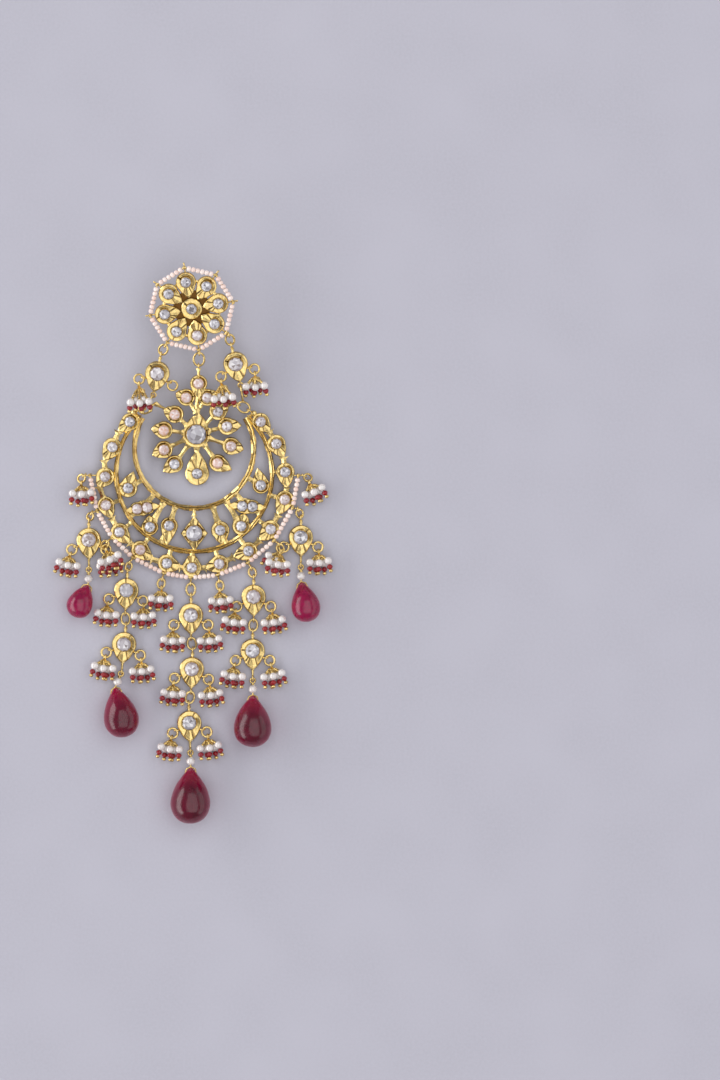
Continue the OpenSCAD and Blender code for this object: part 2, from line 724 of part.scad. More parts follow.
module crescent_frame() {
    inner_from = 149;
    middle_at = [0, rim_offset - MIDDLE * inner_rim_r, 0];
    color(gold) put(crescent_at, 0, crescent_slope) {
        arc_bar(rim_r, rim_from, 540 - rim_from);
        translate([0, rim_offset, 0]) arc_bar(inner_rim_r, inner_from, 540 - inner_from);
        for (row = OUTER) {
            crescent_leaf(row, 0, rim_r);
            mid = polar(row[1] * rim_r, row[0]);
            translate(mid) collet(collet_r);
            bar(polar(rim_r, row[0]), polar(row[1] * rim_r - stone_r, row[0]), stem_w);
        }
        for (row = INNER) {
            crescent_leaf(row, rim_offset, inner_rim_r);
            root = [0, rim_offset, 0] + polar(inner_rim_r, row[0]);
            way = [0, rim_offset, 0] + polar(row[1] * inner_rim_r, row[0]);
            bar(root, way, stem_w);
            bar(way, unit(way) * rim_r, stem_w);
            for (at = inner_stones(row))
                translate(at) collet(row[5] > 0 ? twin_collet_r : collet_r);
        }
        translate(middle_at) {
            translate([0, 0, -plate / 2]) linear_extrude(plate) middle_outline();
            translate([0, 0, plate / 2 - sink]) linear_extrude(border_h + sink) difference() {
                middle_outline();
                scale(1 - border_w / middle_inset) middle_outline();
            }
            collet(centre_collet_r);
        }
        bar([0, rim_offset - inner_rim_r, 0], middle_at, stem_w);
        bar(middle_at, [0, -rim_r, 0], stem_w);
        for (i = [0:len(CORNERS) - 1]) {
            string_post(CORNERS[i], rim_r * 1.2, edge_eye_r - eye_root);
            eye(polar(edge_eye_r, CORNERS[i]), 90 + corner_lean(i));
        }
        for (k = [0:1]) {
            pad = horn_eye(k) + horn_way(k) * (eye_r + horn_pad_r);
            translate([pad.x, pad.y, -plate / 2]) cylinder(h = plate + border_h, r = horn_pad_r);
            bar(polar(rim_r, k == 0 ? rim_from : 180 - rim_from), pad, rim_w);
            eye(horn_eye(k), way_angle(horn_way(k)));
        }
    }
}

// Lean of what hangs from a corner of the pearl string
function corner_lean(i) = i % 2 == 0 ? EDGE_TASSELS[i / 2][1] : STRAND_START[(i - 1) / 2][0];

module crescent_outer_stones() {
    color(pale) put(crescent_at, 0, crescent_slope)
        for (row = OUTER) translate(polar(row[1] * rim_r, row[0])) stone(stone_r);
}

module crescent_inner_stones() {
    color(pale) put(crescent_at, 0, crescent_slope)
        for (row = INNER)
            for (at = inner_stones(row))
                translate(at) stone(row[5] > 0 ? twin_stone_r : stone_r);
}

module crescent_centre_stone() {
    color(pale) put(crescent_at, 0, crescent_slope)
        translate([0, rim_offset - MIDDLE * inner_rim_r, 0])
            rotate([0, 0, 22.5]) stone(centre_stone_r);
}

module crescent_pearl_string() {
    side = 4;
    n = len(CORNERS);
    corners = [for (a = CORNERS) polar(string_ring_r, a, string_z)];
    route = [
        for (i = [0:n - 2])
            for (t = [0:side - 1])
                corners[i] + (corners[i + 1] - corners[i]) * t / side
    ];
    color(pearl_white) put(crescent_at, 0, crescent_slope)
        string_tube(concat(route, [corners[n - 1]]), false);
}

// Tassels on the edge of the crescent
function edge_ring_end(row) =
    let (at = corner_eye(row[0]), slope = asin((at.z - rest_z) / edge_ring))
    placed(at, row[1], slope, down(edge_ring));

module edge_rings() {
    color(gold) for (row = EDGE_TASSELS)
        ring_between(corner_eye(row[0]), edge_ring_end(row), ring_wire);
}

floor_lift = pearl_r + layer_h / 2 - rest_z + 0.02;
module edge_tassels() {
    color(pearl_white) for (row = EDGE_TASSELS) {
        mid = (corner_eye(row[0]) + edge_ring_end(row)) / 2;
        fall = (corner_eye(row[0]) - edge_ring_end(row)).z * cos(row[1] - row[2]) / 2;
        hang = mid + spin(down(edge_ring / 2), row[2]) - [0, 0, fall];
        put(hang, row[2]) tassel(floor_lift, row[2] > 0 ? -1 : 1);
    }
}

// Strands
module strand_link(s, i) {
    color(gold) put(link_at(s, i), LINK_LEAN[s][i])
        link_body(i == last(s) ? long_eye : short_eye);
}

module strand_stones(s) {
    color(pale) for (i = [0:last(s)]) put(link_at(s, i), LINK_LEAN[s][i]) link_stone();
}

module strand_rings() {
    color(gold) for (s = [0:4]) {
        ring_between(corner_eye(STRAND_CORNER[s]), first_link(s), ring_wire);
        if (last(s) > 0)
            for (i = [1:last(s)])
                ring_between(link_low(link_at(s, i - 1), LINK_LEAN[s][i - 1], 0, short_eye),
                    link_at(s, i), ring_wire);
    }
}

function strand_ring_mid(s, i, side) =
    placed(link_at(s, i), LINK_LEAN[s][i], 0, side_ring_mid(side));

module strand_tassel_rings() {
    color(gold) for (s = [0:4])
        for (i = [0:last(s)])
            for (side = [-1, 1])
                translate(strand_ring_mid(s, i, side)) torus(tassel_ring_r, ring_wire);
}

// Lean of the left and the right tassel of each link
TASSEL_LEAN = [
    [[-14, 14]],
    [[-8, 4], [-10, 8]],
    [[-4, 8], [-6, 10], [-10, 12]],
    [[-10, 12], [-10, 14]],
    [[-30, 6]]
];
module strand_tassels(s) {
    color(pearl_white) for (i = [0:last(s)])
        for (side = [-1, 1]) {
            lean = TASSEL_LEAN[s][i][side < 0 ? 0 : 1];
            hang = placed(strand_ring_mid(s, i, side), lean, 0, down(tassel_ring_r));
            put(hang, lean) tassel(floor_lift, side);
        }
}

// Drops, each hung on a wire that goes through a bore near its tip
module ruby_drop(s) {
    bands = 18;
    outline = [
        for (i = [0:bands]) [i == bands ? 0 : drop_radius(s, i / bands), -drop_depth(s, i / bands)]
    ];
    color(ruby) put(drop_tip(s), DROPS[s][3], -drop_rise(s)) rotate([-90, 0, 0])
        difference() {
            rotate_extrude() polygon(outline);
            translate([0, 0, -drop_bore_at]) rotate([0, 90, 0])
                cylinder(h = drop_w, r = drop_bore_r, center = true, $fn = 24);
        }
}

module drop_pearls() {
    color(pearl_white) for (s = [0:4])
        put(wire_pt(s, eye_r + loop_to_pearl), DROPS[s][2], -wire_rise(s))
            difference() {
                sphere(r = drop_pearl_r);
                rotate([90, 0, 0])
                    cylinder(h = 4 * drop_pearl_r, r = drop_wire + gap, center = true, $fn = 24);
            }
}

// A bent wire through a row of points, left with plain flat sides
module bent_wire(points, wire) {
    for (i = [1:len(points) - 1])
        hull() {
            translate(points[i - 1]) sphere(r = wire, $fn = 8);
            translate(points[i]) sphere(r = wire, $fn = 8);
        }
}

module drop_wires() {
    color(gold) for (s = [0:4]) {
        neck = wire_pt(s, eye_r + loop_to_pearl + drop_pearl_r + bead_gap + solder_r);
        legs = [
            for (leg = [[-0.75, 0.3], [-1, 1], [1, 1], [0.75, 0.3]])
                placed(drop_tip(s), DROPS[s][3], -drop_rise(s),
                    [leg[0] * leg_half, -leg[1] * drop_bore_at, 0])
        ];
        put(wire_pt(s, eye_r), DROPS[s][2], -wire_rise(s)) rotate_extrude($fn = 24)
            translate([eye_r, 0]) circle(r = 1.1 * drop_wire, $fn = 12);
        bent_wire([wire_pt(s, 2 * eye_r), neck], drop_wire);
        bent_wire(concat([neck], legs, [neck]), drop_wire);
        translate(neck) sphere(r = solder_r, $fn = 10);
    }
}

stud_flower();
stud_centre_stone();
stud_petal_stones();
stud_pearl_string();
ear_post();
upper_rings();
horn_rings();
upper_link(0);  // upper_link_left
upper_link(1);  // upper_link_right
upper_stone(0);  // upper_stone_left
upper_stone(1);  // upper_stone_right
upper_tassels();
rosette_frame();
rosette_centre_stone();
rosette_petal_stones();
crescent_frame();
crescent_outer_stones();
crescent_inner_stones();
crescent_centre_stone();
crescent_pearl_string();
edge_rings();
edge_tassels();
strand_rings();
strand_tassel_rings();
strand_link(0, 0);  // strand_1_link
strand_link(1, 0);  // strand_2_link_a
strand_link(1, 1);  // strand_2_link_b
strand_link(2, 0);  // strand_3_link_a
strand_link(2, 1);  // strand_3_link_b
strand_link(2, 2);  // strand_3_link_c
strand_link(3, 0);  // strand_4_link_a
strand_link(3, 1);  // strand_4_link_b
strand_link(4, 0);  // strand_5_link
strand_stones(0);  // strand_1_stones
strand_stones(1);  // strand_2_stones
strand_stones(2);  // strand_3_stones
strand_stones(3);  // strand_4_stones
strand_stones(4);  // strand_5_stones
strand_tassels(0);  // strand_1_tassels
strand_tassels(1);  // strand_2_tassels
strand_tassels(2);  // strand_3_tassels
strand_tassels(3);  // strand_4_tassels
strand_tassels(4);  // strand_5_tassels
ruby_drop(0);  // ruby_drop_1
ruby_drop(1);  // ruby_drop_2
ruby_drop(2);  // ruby_drop_3
ruby_drop(3);  // ruby_drop_4
ruby_drop(4);  // ruby_drop_5
drop_pearls();
drop_wires();
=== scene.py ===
import math
import random

import bmesh
import bpy
from bpy.props import FloatProperty, FloatVectorProperty, PointerProperty
from mathutils import Matrix, Vector, noise


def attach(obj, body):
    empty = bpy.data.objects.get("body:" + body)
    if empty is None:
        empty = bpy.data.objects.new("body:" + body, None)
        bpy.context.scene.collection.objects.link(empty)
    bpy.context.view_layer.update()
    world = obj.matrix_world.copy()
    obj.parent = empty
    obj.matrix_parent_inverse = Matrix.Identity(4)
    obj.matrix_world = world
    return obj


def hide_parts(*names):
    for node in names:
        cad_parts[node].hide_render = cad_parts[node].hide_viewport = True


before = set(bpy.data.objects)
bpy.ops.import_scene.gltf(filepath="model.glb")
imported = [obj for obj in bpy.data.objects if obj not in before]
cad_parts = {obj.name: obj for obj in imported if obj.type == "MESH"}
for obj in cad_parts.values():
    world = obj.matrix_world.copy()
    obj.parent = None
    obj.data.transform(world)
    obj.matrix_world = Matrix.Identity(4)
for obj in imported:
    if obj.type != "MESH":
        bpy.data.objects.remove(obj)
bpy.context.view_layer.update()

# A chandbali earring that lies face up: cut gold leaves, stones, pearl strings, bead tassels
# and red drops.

bl_info = {
    "name": "Chandbali Earring",
    "version": (1, 0, 0),
    "blender": (4, 5, 0),
    "location": "3D View > Sidebar > Earring",
    "description": "Builds a chandbali earring and the table that it lies on",
    "category": "Add Mesh",
}

MM = 0.001

# The photograph: its size in pixels, the pixel that the origin is counted from, its scale, and
# the millimetres from that pixel to the origin
PHOTO_W, PHOTO_H = 720, 1080
PHOTO_ZERO = (192, 545)
PIXELS_PER_MM = 4
ORIGIN_SHIFT = (-0.35, -0.17)

# The stage, in metres. Lamps: name, degrees from straight up towards the right, distance,
# width and length, watts
CAMERA_HEIGHT = 1.2
SENSOR = 36
TABLE_SIZE = 3.0
TABLE_STEPS = 24
LAMP_Y = 0.12
LAMPS = (
    ("left panel", -70, 1.3, (0.8, 3.4), 26), ("broad panel", 13, 1.0, (1.25, 2.4), 11),
    ("right panel", 75, 1.3, (0.8, 3.4), 7),
)
ROOM_LIGHT = (0.26, 0.25, 0.27, 1)

# Clearances
GAP = 0.1 * MM
POST_GAP = 0.02 * MM
STONE_GAP = 0.05 * MM
TWIN_GAP = 0.08 * MM
# Metalwork: chamfer of a plate, depth of a graver's line, thinning of a collet's wall at its
# mouth, and how much further a stone reaches under it
CHAMFER = 0.12 * MM
GRAVED = 0.14 * MM
COLLET_THINNED = 0.2 * MM
STONE_GROWN = 0.1 * MM
# Fine wires: those inside a string, its bindings, and the round wires of drops
THREAD_R = 0.14 * MM
BINDING_R = 0.12 * MM
BAIL_R = 0.2 * MM
# How far a leaf's flanks bulge past straight ones, and how much larger petals are cast
LEAF_FULLNESS = 0.1
PETAL_CAST = 1.09
# Seed beads: their pitch, and their width as a share of the string's
SEED_PITCH = 1.13 * MM
SEED_WIDTH = 1.22
# Drops: how finely they are uneven, and the seed of that noise, which follows the clock if unset
UNEVEN_PITCH = 1.7 * MM
UNEVEN_SEED = 3


# Sizes and colours

def length(name, description, default):
    return FloatProperty(name=name, description=description, default=default * MM, min=0,
                         unit="LENGTH", precision=5)


def colour(name, description, default):
    return FloatVectorProperty(name=name, description=description, default=default, size=3,
                               min=0, max=1, subtype="COLOR")


class EarringSizes(bpy.types.PropertyGroup):
    """Sizes of the earring's parts"""
    stud_reach: length("Stud reach", "From the stud's centre to its petals' centres", 6.8)
    stud_petal_r: length("Stud petal", "Radius of a stud petal", 2.3)
    stud_turn: FloatProperty(name="Stud turn", description="Turn of the first petal",
                             default=math.radians(11.5), subtype="ANGLE")
    stud_lean: FloatProperty(name="Stud lean", description="Lean of the stud on its post",
                             default=math.radians(12), subtype="ANGLE")
    stud_string_r: length("Stud string", "Radius of the corners of the stud's string", 10.45)
    stud_collet_r: length("Stud collet", "Radius of the collet in the stud's middle", 2.4)
    post_len: length("Post length", "Length of the ear post", 9.5)
    post_r: length("Post radius", "Radius of the ear post", 0.45)
    rosette_reach: length("Rosette reach", "From the rosette's centre to its long petals", 9)
    rosette_petal_r: length("Rosette petal", "Radius of a rosette petal", 2.05)
    rosette_core_r: length("Rosette core", "Radius of the setting in the rosette's middle", 3.45)
    rosette_neck: length("Rosette neck", "From the rosette's centre to its eye", 17.15)
    crescent_drop: length("Crescent drop", "From the rosette's centre to the rims' centre", 10)
    rim_r: length("Rim radius", "Radius of the rim between the rows of leaves", 19.5)
    inner_rim_r: length("Inner rim", "Radius of the inner rim", 14.9)
    rim_offset: length("Rim offset", "How far the inner rim is set above the outer one", 6.25)
    rim_w: length("Rim width", "Width of the rims", 0.95)
    leaf_r: length("Crescent leaf", "Radius of the round end of a crescent leaf", 2.3)
    string_ring_r: length("Crescent string", "Radius of the crescent's bead string", 26)
    link_w: length("Link width", "Width of a leaf link", 6.1)
    link_len: length("Link length", "Length of a leaf link's body", 8)
    link_neck: length("Link neck", "Length of the neck above a link's body", 1.9)
    plate: length("Plate", "Thickness of the cast plates", 0.9)
    border_h: length("Border", "Height of the raised borders", 0.3)
    collet_h: length("Collet height", "Height of the collets above a plate", 0.45)
    collet_wall: length("Collet wall", "Wall of the collets", 0.3)
    stone_r: length("Stone", "Radius of the small stones", 1.2)
    link_stone_r: length("Link stone", "Radius of the links' stones", 1.65)
    core_stone_r: length("Core stone", "Radius of the rosette's middle stone", 2.35)
    centre_stone_r: length("Centre stone", "Radius of the crescent's middle stone", 1.9)
    crown_h: length("Crown", "Height of a stone's crown", 0.4)
    eye_wire: length("Eye wire", "Radius of the eyes' wire", 0.2)
    ring_wire: length("Ring wire", "Radius of the jump rings' wire", 0.28)
    eye_play: length("Eye play", "Play of a ring's wire in an eye", 0.14)
    ring_pitch: length("Ring pitch", "From eye to eye of a ring between two links", 2.9)
    rosette_ring: length("Rosette ring", "From eye to eye of the rosette's ring", 3.6)
    string_r: length("String", "Radius of the bead strings", 0.55)
    pearl_r: length("Pearl", "Radius of a tassel pearl", 1.02)
    red_r: length("Red bead", "Radius of a red bead", 0.7)
    gold_r: length("Gold bead", "Radius of a gold bead", 0.55)
    tassel_half_w: length("Tassel", "Half the width of a tassel", 2.4)
    tassel_reach: length("Tassel reach", "From a tassel's eye to its pearls", 2.6)
    drop_pearl_r: length("Drop pearl", "Radius of the pearl above a drop", 1.1)
    drop_w: length("Drop width", "Width of the middle drop", 9.9)
    drop_len: length("Drop length", "Length of the middle drop", 14.4)


class EarringColours(bpy.types.PropertyGroup):
    """Colours of the earring's materials and of the table"""
    gold: colour("Gold", "Polished gold", (1.0, 0.76, 0.31))
    # Deep gold: a random mottle, and painted shade in hollows, on walls and in graved lines
    gold_deep: colour("Deep gold", "Gold in the hollows", (0.10, 0.042, 0.009))
    stone: colour("Stone", "Clear stones", (0.38, 0.365, 0.40))
    # Bright and dark facets are painted light: glints and shade painted into the stones' colour
    stone_light: colour("Bright facet", "Facets that face the light", (0.80, 0.79, 0.80))
    stone_dark: colour("Dark facet", "Facets that face away", (0.06, 0.045, 0.05))
    stone_warm: colour("Warm stone", "Stones with a peach tone", (0.72, 0.34, 0.20))
    pearl: colour("Pearl", "Tassel pearls", (0.70, 0.67, 0.65))
    pearl_blush: colour("Pearl blush", "Rosy patches of the pearls", (0.74, 0.60, 0.57))
    seed: colour("Seed bead", "Beads of the strings", (0.86, 0.62, 0.53))
    seed_pale: colour("Pale seed bead", "Palest beads of the strings", (0.93, 0.80, 0.74))
    garnet: colour("Garnet bead", "Small red beads", (0.30, 0.002, 0.006))
    ruby: colour("Ruby", "Large red drops", (0.17, 0.001, 0.026))
    ruby_bright: colour("Bright ruby", "The two outermost drops", (0.50, 0.002, 0.10))
    # The paler red is a painted glow of light through the drops low down
    ruby_edge: colour("Ruby edge", "Drops where they are thin", (0.56, 0.003, 0.085))
    table: colour("Table", "The table under the earring", (0.48, 0.475, 0.54))


# Placing

def put(at, lean=0.0, slope=0.0):
    """A place with its own directions: lean turns it about Z, slope lowers its -Y end."""
    return (Matrix.Translation(at) @ Matrix.Rotation(lean, 4, "Z")
            @ Matrix.Rotation(slope, 4, "X"))


def turned(degrees):
    return Matrix.Rotation(math.radians(degrees), 4, "Z")


def polar(reach, degrees, z=0.0):
    a = math.radians(degrees)
    return Vector((reach * math.cos(a), reach * math.sin(a), z))


def down(distance):
    return Vector((0, -distance, 0))


def moved(x, y, z=0.0):
    return Matrix.Translation((x, y, z))


def aimed(start, end):
    """A place at start whose Z axis points to end."""
    way = (end - start).normalized()
    return Matrix.Translation(start) @ way.to_track_quat("Z", "Y").to_matrix().to_4x4()


# Stud: where its middle lies, number of petals, turn of the string's corners from them, and the
# corners with an eye. Its rings: lean and slope of each, length of the outer two
STUD_AT = (-0.1 * MM, 58.45 * MM)
STUD_PETALS = 8
STUD_PITCH = 360 / STUD_PETALS
CORNER_TURN = -2
STUD_EYES = (5, 6, 7)
STUD_RING_LEAN = (-29, -5, 13)
STUD_RING_SLOPE = (30, 28, 30)
STUD_RING = 2.9 * MM
# Rosette petals: angle, distance as a share of the reach, way of the tip, radius and tip length
# as shares of the petal radius, warmth of the stone
ROSETTE = (
    (137, 0.815, 156, 1.00, 1.50, 0.75), (173, 0.910, 173, 1.00, 1.55, 0.8),
    (205.5, 1.000, 206, 0.98, 1.65, 0.55), (233.7, 1.035, 215, 0.98, 1.75, 0.0),
    (270.7, 1.100, 90, 1.34, 3.00, 0.0), (305.9, 0.995, 333, 0.98, 1.95, 0.85),
    (340.8, 1.015, 344, 1.00, 1.60, 0.45), (14.7, 0.875, 4, 1.00, 1.80, 0.2),
    (46.9, 0.875, 30, 1.00, 1.50, 0.1), (105.1, 1.065, 159, 0.96, 1.40, 0.7),
    (73.4, 1.070, 19, 0.96, 1.50, 0.3), (87.2, 1.420, 268, 0.96, 2.10, 0.6),
)
# Petals whose stems start at the rosette's core. The others grow from its long tip
CORE_PETALS = 9
CORE_TIP = 1.6
LOW_PETAL = (1.1, 1.34)
EYE_SIDE = 0.6 * MM
ARM_SHARE = ((-1.233, 0.806), (1.156, 0.84))
# Outer leaves of the crescent: angle, distance as a share of the rim's radius, way of the tip,
# radius and tip length as shares of the leaf radius
OUTER = (
    (141, 1.055, 220, 0.96, 1.80), (162, 1.100, 238, 1.02, 1.85),
    (182, 1.140, 236, 1.02, 1.40), (199.6, 1.200, 294, 0.94, 1.70),
    (218, 1.215, 312, 1.00, 1.75), (234.6, 1.195, 318, 1.00, 1.75),
    (253, 1.200, 340, 1.00, 1.60), (268.5, 1.205, 90, 1.06, 1.55),
    (285.5, 1.200, 198, 1.00, 1.65), (305, 1.210, 203, 1.00, 1.95),
    (324, 1.210, 226, 1.02, 1.85), (344, 1.205, 247, 1.00, 2.00),
    (1, 1.165, 276, 1.02, 1.85), (20, 1.120, 298, 1.00, 1.85), (38, 1.080, 312, 0.96, 1.60),
)
OUTER_WARM = {3: 0.4, 5: 0.5, 11: 0.35}
OUTER_UPRIGHT = 7
TIP_BAR_REACH = 5.5 * MM
# Inner leaves, with the length of a second tip on the other side as a last column
INNER = (
    (210.9, 1.290, 72, 1.02, 1.95, 0), (228.9, 1.325, 9, 0.84, 2.10, 1.95),
    (240.5, 1.510, 92, 0.92, 1.30, 0), (252, 1.360, 263, 0.94, 2.25, 0),
    (287.7, 1.435, 278, 1.00, 1.60, 0), (301.2, 1.520, 76, 1.00, 1.50, 0),
    (312.6, 1.315, 356, 0.84, 2.20, 2.30), (331.2, 1.275, 101, 0.94, 1.95, 0),
)
INNER_WARM = 1
MIDDLE = 1.42
MIDDLE_HALF = (3.4 * MM, 4.5 * MM)
# Horns: angle of their eyes, how far these stand off the rim, how far they lie below the arms
HORN_ANGLE = (131, 49)
HORN_EYE = 1.4 * MM
HORN_DROP = 1.25 * MM
RIM_FROM = 134
INNER_FROM = 149
# Corners of the crescent's bead string, and what hangs there
CORNERS = (181, 201, 218, 234, 253, 268, 283, 301, 320, 341, 359)
# Edge tassels: corner, lean of the ring, lean of the tassel, rise in millimetres over what it
# lies on
EDGE_TASSELS = (
    (0, -45, 2, 1.2), (2, -40, 22, 3.4), (4, -12, 0, 0), (6, 10, 3, 0), (8, 20, -6, 3.8),
    (10, 60, 22, 0),
)
EDGE_RING = 2.4 * MM
STRAND_CORNER = (1, 3, 5, 7, 9)
# Strands: lean and length of the first ring, leans of the links and of the rings between
STRAND_START = ((-22, 2.1), (-16, 2.1), (2, 3), (16, 2.4), (17, 2.3))
LINK_LEAN = ((0,), (-3, -5), (0, -2, 2), (0, 0), (0,))
RING_LEAN = ((), (3,), (8, -12), (-5,), ())
TASSEL_LEAN = (
    ((-14, 14),), ((-8, 4), (-10, 8)), ((-4, 8), (-6, 10), (-10, 12)),
    ((-10, 12), (-10, 14)), ((-30, 6),),
)
# Links: lean and slope of the upper ones, reach of an eye below a link, and of the lowest ones
UPPER_LEAN = (-11, 12.7)
UPPER_SLOPE = 16
SHORT_EYE = 0.7 * MM
LONG_EYE = 1.9 * MM
# Upper tassels: link, side, lean, rise in millimetres over what it lies on
UPPER_TASSELS = ((0, -1, 2, 3.0), (1, -1, 6, 2.4), (1, 1, 4, 0))
UPPER_TASSEL_SLOPE = 30
TASSEL_RING_R = 1.22 * MM
SIDE_RING_TURN = 32
# Tassel pins: place across, reach of the pearl, layer, lean of the beads below it
PINS = (
    (-0.98, 0.93, 1, -6), (-0.02, 1.08, 1, -12), (0.92, 0.96, 1, 10),
    (-0.48, 1.10, 0, 4), (0.46, 1.14, 0, -2),
)
LAYER_H = 1.72 * MM
# Drops: width and length as shares of the middle one's, lean of the wire, lean of the drop
DROPS = (
    (0.646, 0.62, -2, -22), (0.879, 0.90, -22, 12), (1, 1, 2, 0), (0.95, 0.92, 1, 0),
    (0.727, 0.72, 1, 11),
)
BRIGHT_DROPS = (0, 4)
# Half the thickness that a drop's tip has at its bore, as a share of its width, how far along
# the drop its belly lies, and the power that rounds its outline
TIP_SHARE = 0.24
BELLY_AT = 0.62
PEAR_POWER = 0.85


def pear(t):
    return math.sin(math.pi * t) * math.sin(math.pi / 2 * t) ** PEAR_POWER


PEAR_MAX = max(pear(0.5 + 0.01 * i) for i in range(31))


class Layout:
    """Where each piece lies, worked out from the sizes as it is for the solids."""

    def __init__(self, s):
        self.s = s
        self.eye_r = s.ring_wire + s.eye_play + s.eye_wire
        self.rest = self.eye_r + s.eye_wire
        self.string_z = s.plate / 2 - 0.03 * MM
        self.post_wire = 0.2 * MM
        self.post_wire_z = self.string_z - s.string_r - GAP - self.post_wire
        self.edge_eye_r = s.string_ring_r + s.string_r + GAP + self.rest
        self.collet_r = s.stone_r + STONE_GAP + s.collet_wall
        self.link_r = s.link_w / 2
        self.link_centre = s.link_neck + self.link_r
        self.link_tip = s.link_neck + s.link_len
        self.side_eye = (self.link_r * 0.93 + self.eye_r * 0.6,
                         -(s.link_neck + 0.6 * s.link_len))
        self.lift = s.pearl_r + LAYER_H / 2 - self.rest + 0.02 * MM
        self.place_stud()
        self.place_rosette()
        self.place_crescent()
        self.place_upper_links()
        self.place_strands()
        self.place_drops()

    def place_stud(self):
        s = self.s
        z = ((s.post_len + s.plate / 2 + POST_GAP) * math.cos(s.stud_lean)
             + s.post_r * math.sin(s.stud_lean))
        self.stud = put((*STUD_AT, z), 0, s.stud_lean)
        self.stud_corners = [math.degrees(s.stud_turn) + CORNER_TURN + STUD_PITCH * i
                             for i in range(STUD_PETALS)]
        self.stud_eye_r = s.stud_string_r + self.rest
        self.stud_eyes = [self.stud @ polar(self.stud_eye_r, self.stud_corners[i])
                          for i in STUD_EYES]
        drops = (STUD_RING, s.rosette_ring, STUD_RING)
        self.stud_ring_ends = [
            put(eye, math.radians(lean), math.radians(slope)) @ down(drop)
            for eye, lean, slope, drop in zip(self.stud_eyes, STUD_RING_LEAN, STUD_RING_SLOPE, drops)
        ]

    def place_rosette(self):
        s = self.s
        eye = self.stud_ring_ends[1]
        low = LOW_PETAL[0] * s.rosette_reach + LOW_PETAL[1] * s.rosette_petal_r
        slope = math.asin((eye.z - self.rest) / (s.rosette_neck + low))
        self.rosette_eye = Vector((EYE_SIDE, s.rosette_neck, 0))
        self.rosette = put(eye, 0, slope) @ moved(-EYE_SIDE, -s.rosette_neck)
        self.arm_ends = [Vector((x, y, 0)) * s.rosette_reach for x, y in ARM_SHARE]

    def place_crescent(self):
        s = self.s
        self.horn_eyes = [polar(s.rim_r + HORN_EYE, a) for a in HORN_ANGLE]
        shift = Vector((-EYE_SIDE, -s.crescent_drop, 0))
        self.horn_ways = [(horn + shift - arm).normalized()
                          for horn, arm in zip(self.horn_eyes, self.arm_ends)]
        centre = self.rosette @ shift
        horn_z = (self.rosette @ self.arm_ends[0]).z - HORN_DROP
        slope = math.asin((horn_z - self.rest) / (self.horn_eyes[0].y + self.edge_eye_r))
        at = (centre.x, centre.y, horn_z - self.horn_eyes[0].y * math.sin(slope))
        self.crescent = put(at, 0, slope)
        self.corner_eyes = [self.crescent @ polar(self.edge_eye_r, a) for a in CORNERS]
        self.corner_leans = [EDGE_TASSELS[i // 2][1] if i % 2 == 0
                             else STRAND_START[i // 2][0] for i in range(len(CORNERS))]
        self.edge_ring_ends, self.edge_hangs = [], []
        for corner, ring_lean, lean, rise in EDGE_TASSELS:
            eye = self.corner_eyes[corner]
            fall = math.asin((eye.z - self.rest) / EDGE_RING)
            end = put(eye, math.radians(ring_lean), fall) @ down(EDGE_RING)
            self.edge_ring_ends.append(end)
            mid = (eye + end) / 2
            low = (eye - end).z * math.cos(math.radians(ring_lean - lean)) / 2
            hang = mid + turned(lean) @ down(EDGE_RING / 2) - Vector((0, 0, low))
            self.edge_hangs.append((put(hang, math.radians(lean)), -1 if lean > 0 else 1,
                                    rise * MM))

    def side_ring_mid(self, side):
        x, y = self.side_eye
        a = math.radians(SIDE_RING_TURN)
        return (Vector((side * x, y, 0))
                + TASSEL_RING_R * Vector((side * math.cos(a), -math.sin(a), 0)))

    def place_upper_links(self):
        slope = math.radians(UPPER_SLOPE)
        self.upper_links = [put(self.stud_ring_ends[2 * k], math.radians(UPPER_LEAN[k]), slope)
                            for k in (0, 1)]
        self.upper_lows = [place @ down(self.link_tip + SHORT_EYE) for place in self.upper_links]
        self.horn_pairs = [(self.rosette @ arm, self.crescent @ horn)
                           for arm, horn in zip(self.arm_ends, self.horn_eyes)]
        self.horn_tops = []
        for (a, b), low in zip(self.horn_pairs, self.upper_lows):
            way = (b - a).normalized()
            side = Vector((0, 0, 1)).cross(way).normalized()
            normal = way.cross(side)
            flat = low - (a + b) / 2
            flat -= normal * flat.dot(normal)
            self.horn_tops.append((a + b) / 2 + (b - a).length / 2 * flat.normalized())
        self.upper_side_rings = [
            put(self.upper_links[k] @ self.side_ring_mid(side), math.radians(UPPER_LEAN[k]), slope)
            for k in (0, 1) for side in (-1, 1)]
        self.upper_hangs = []
        for k, side, lean, rise in UPPER_TASSELS:
            mid = self.upper_links[k] @ self.side_ring_mid(side)
            hang = put(mid, math.radians(lean), slope) @ down(TASSEL_RING_R)
            self.upper_hangs.append(
                (put(hang, math.radians(lean), math.radians(UPPER_TASSEL_SLOPE)), side, rise * MM))

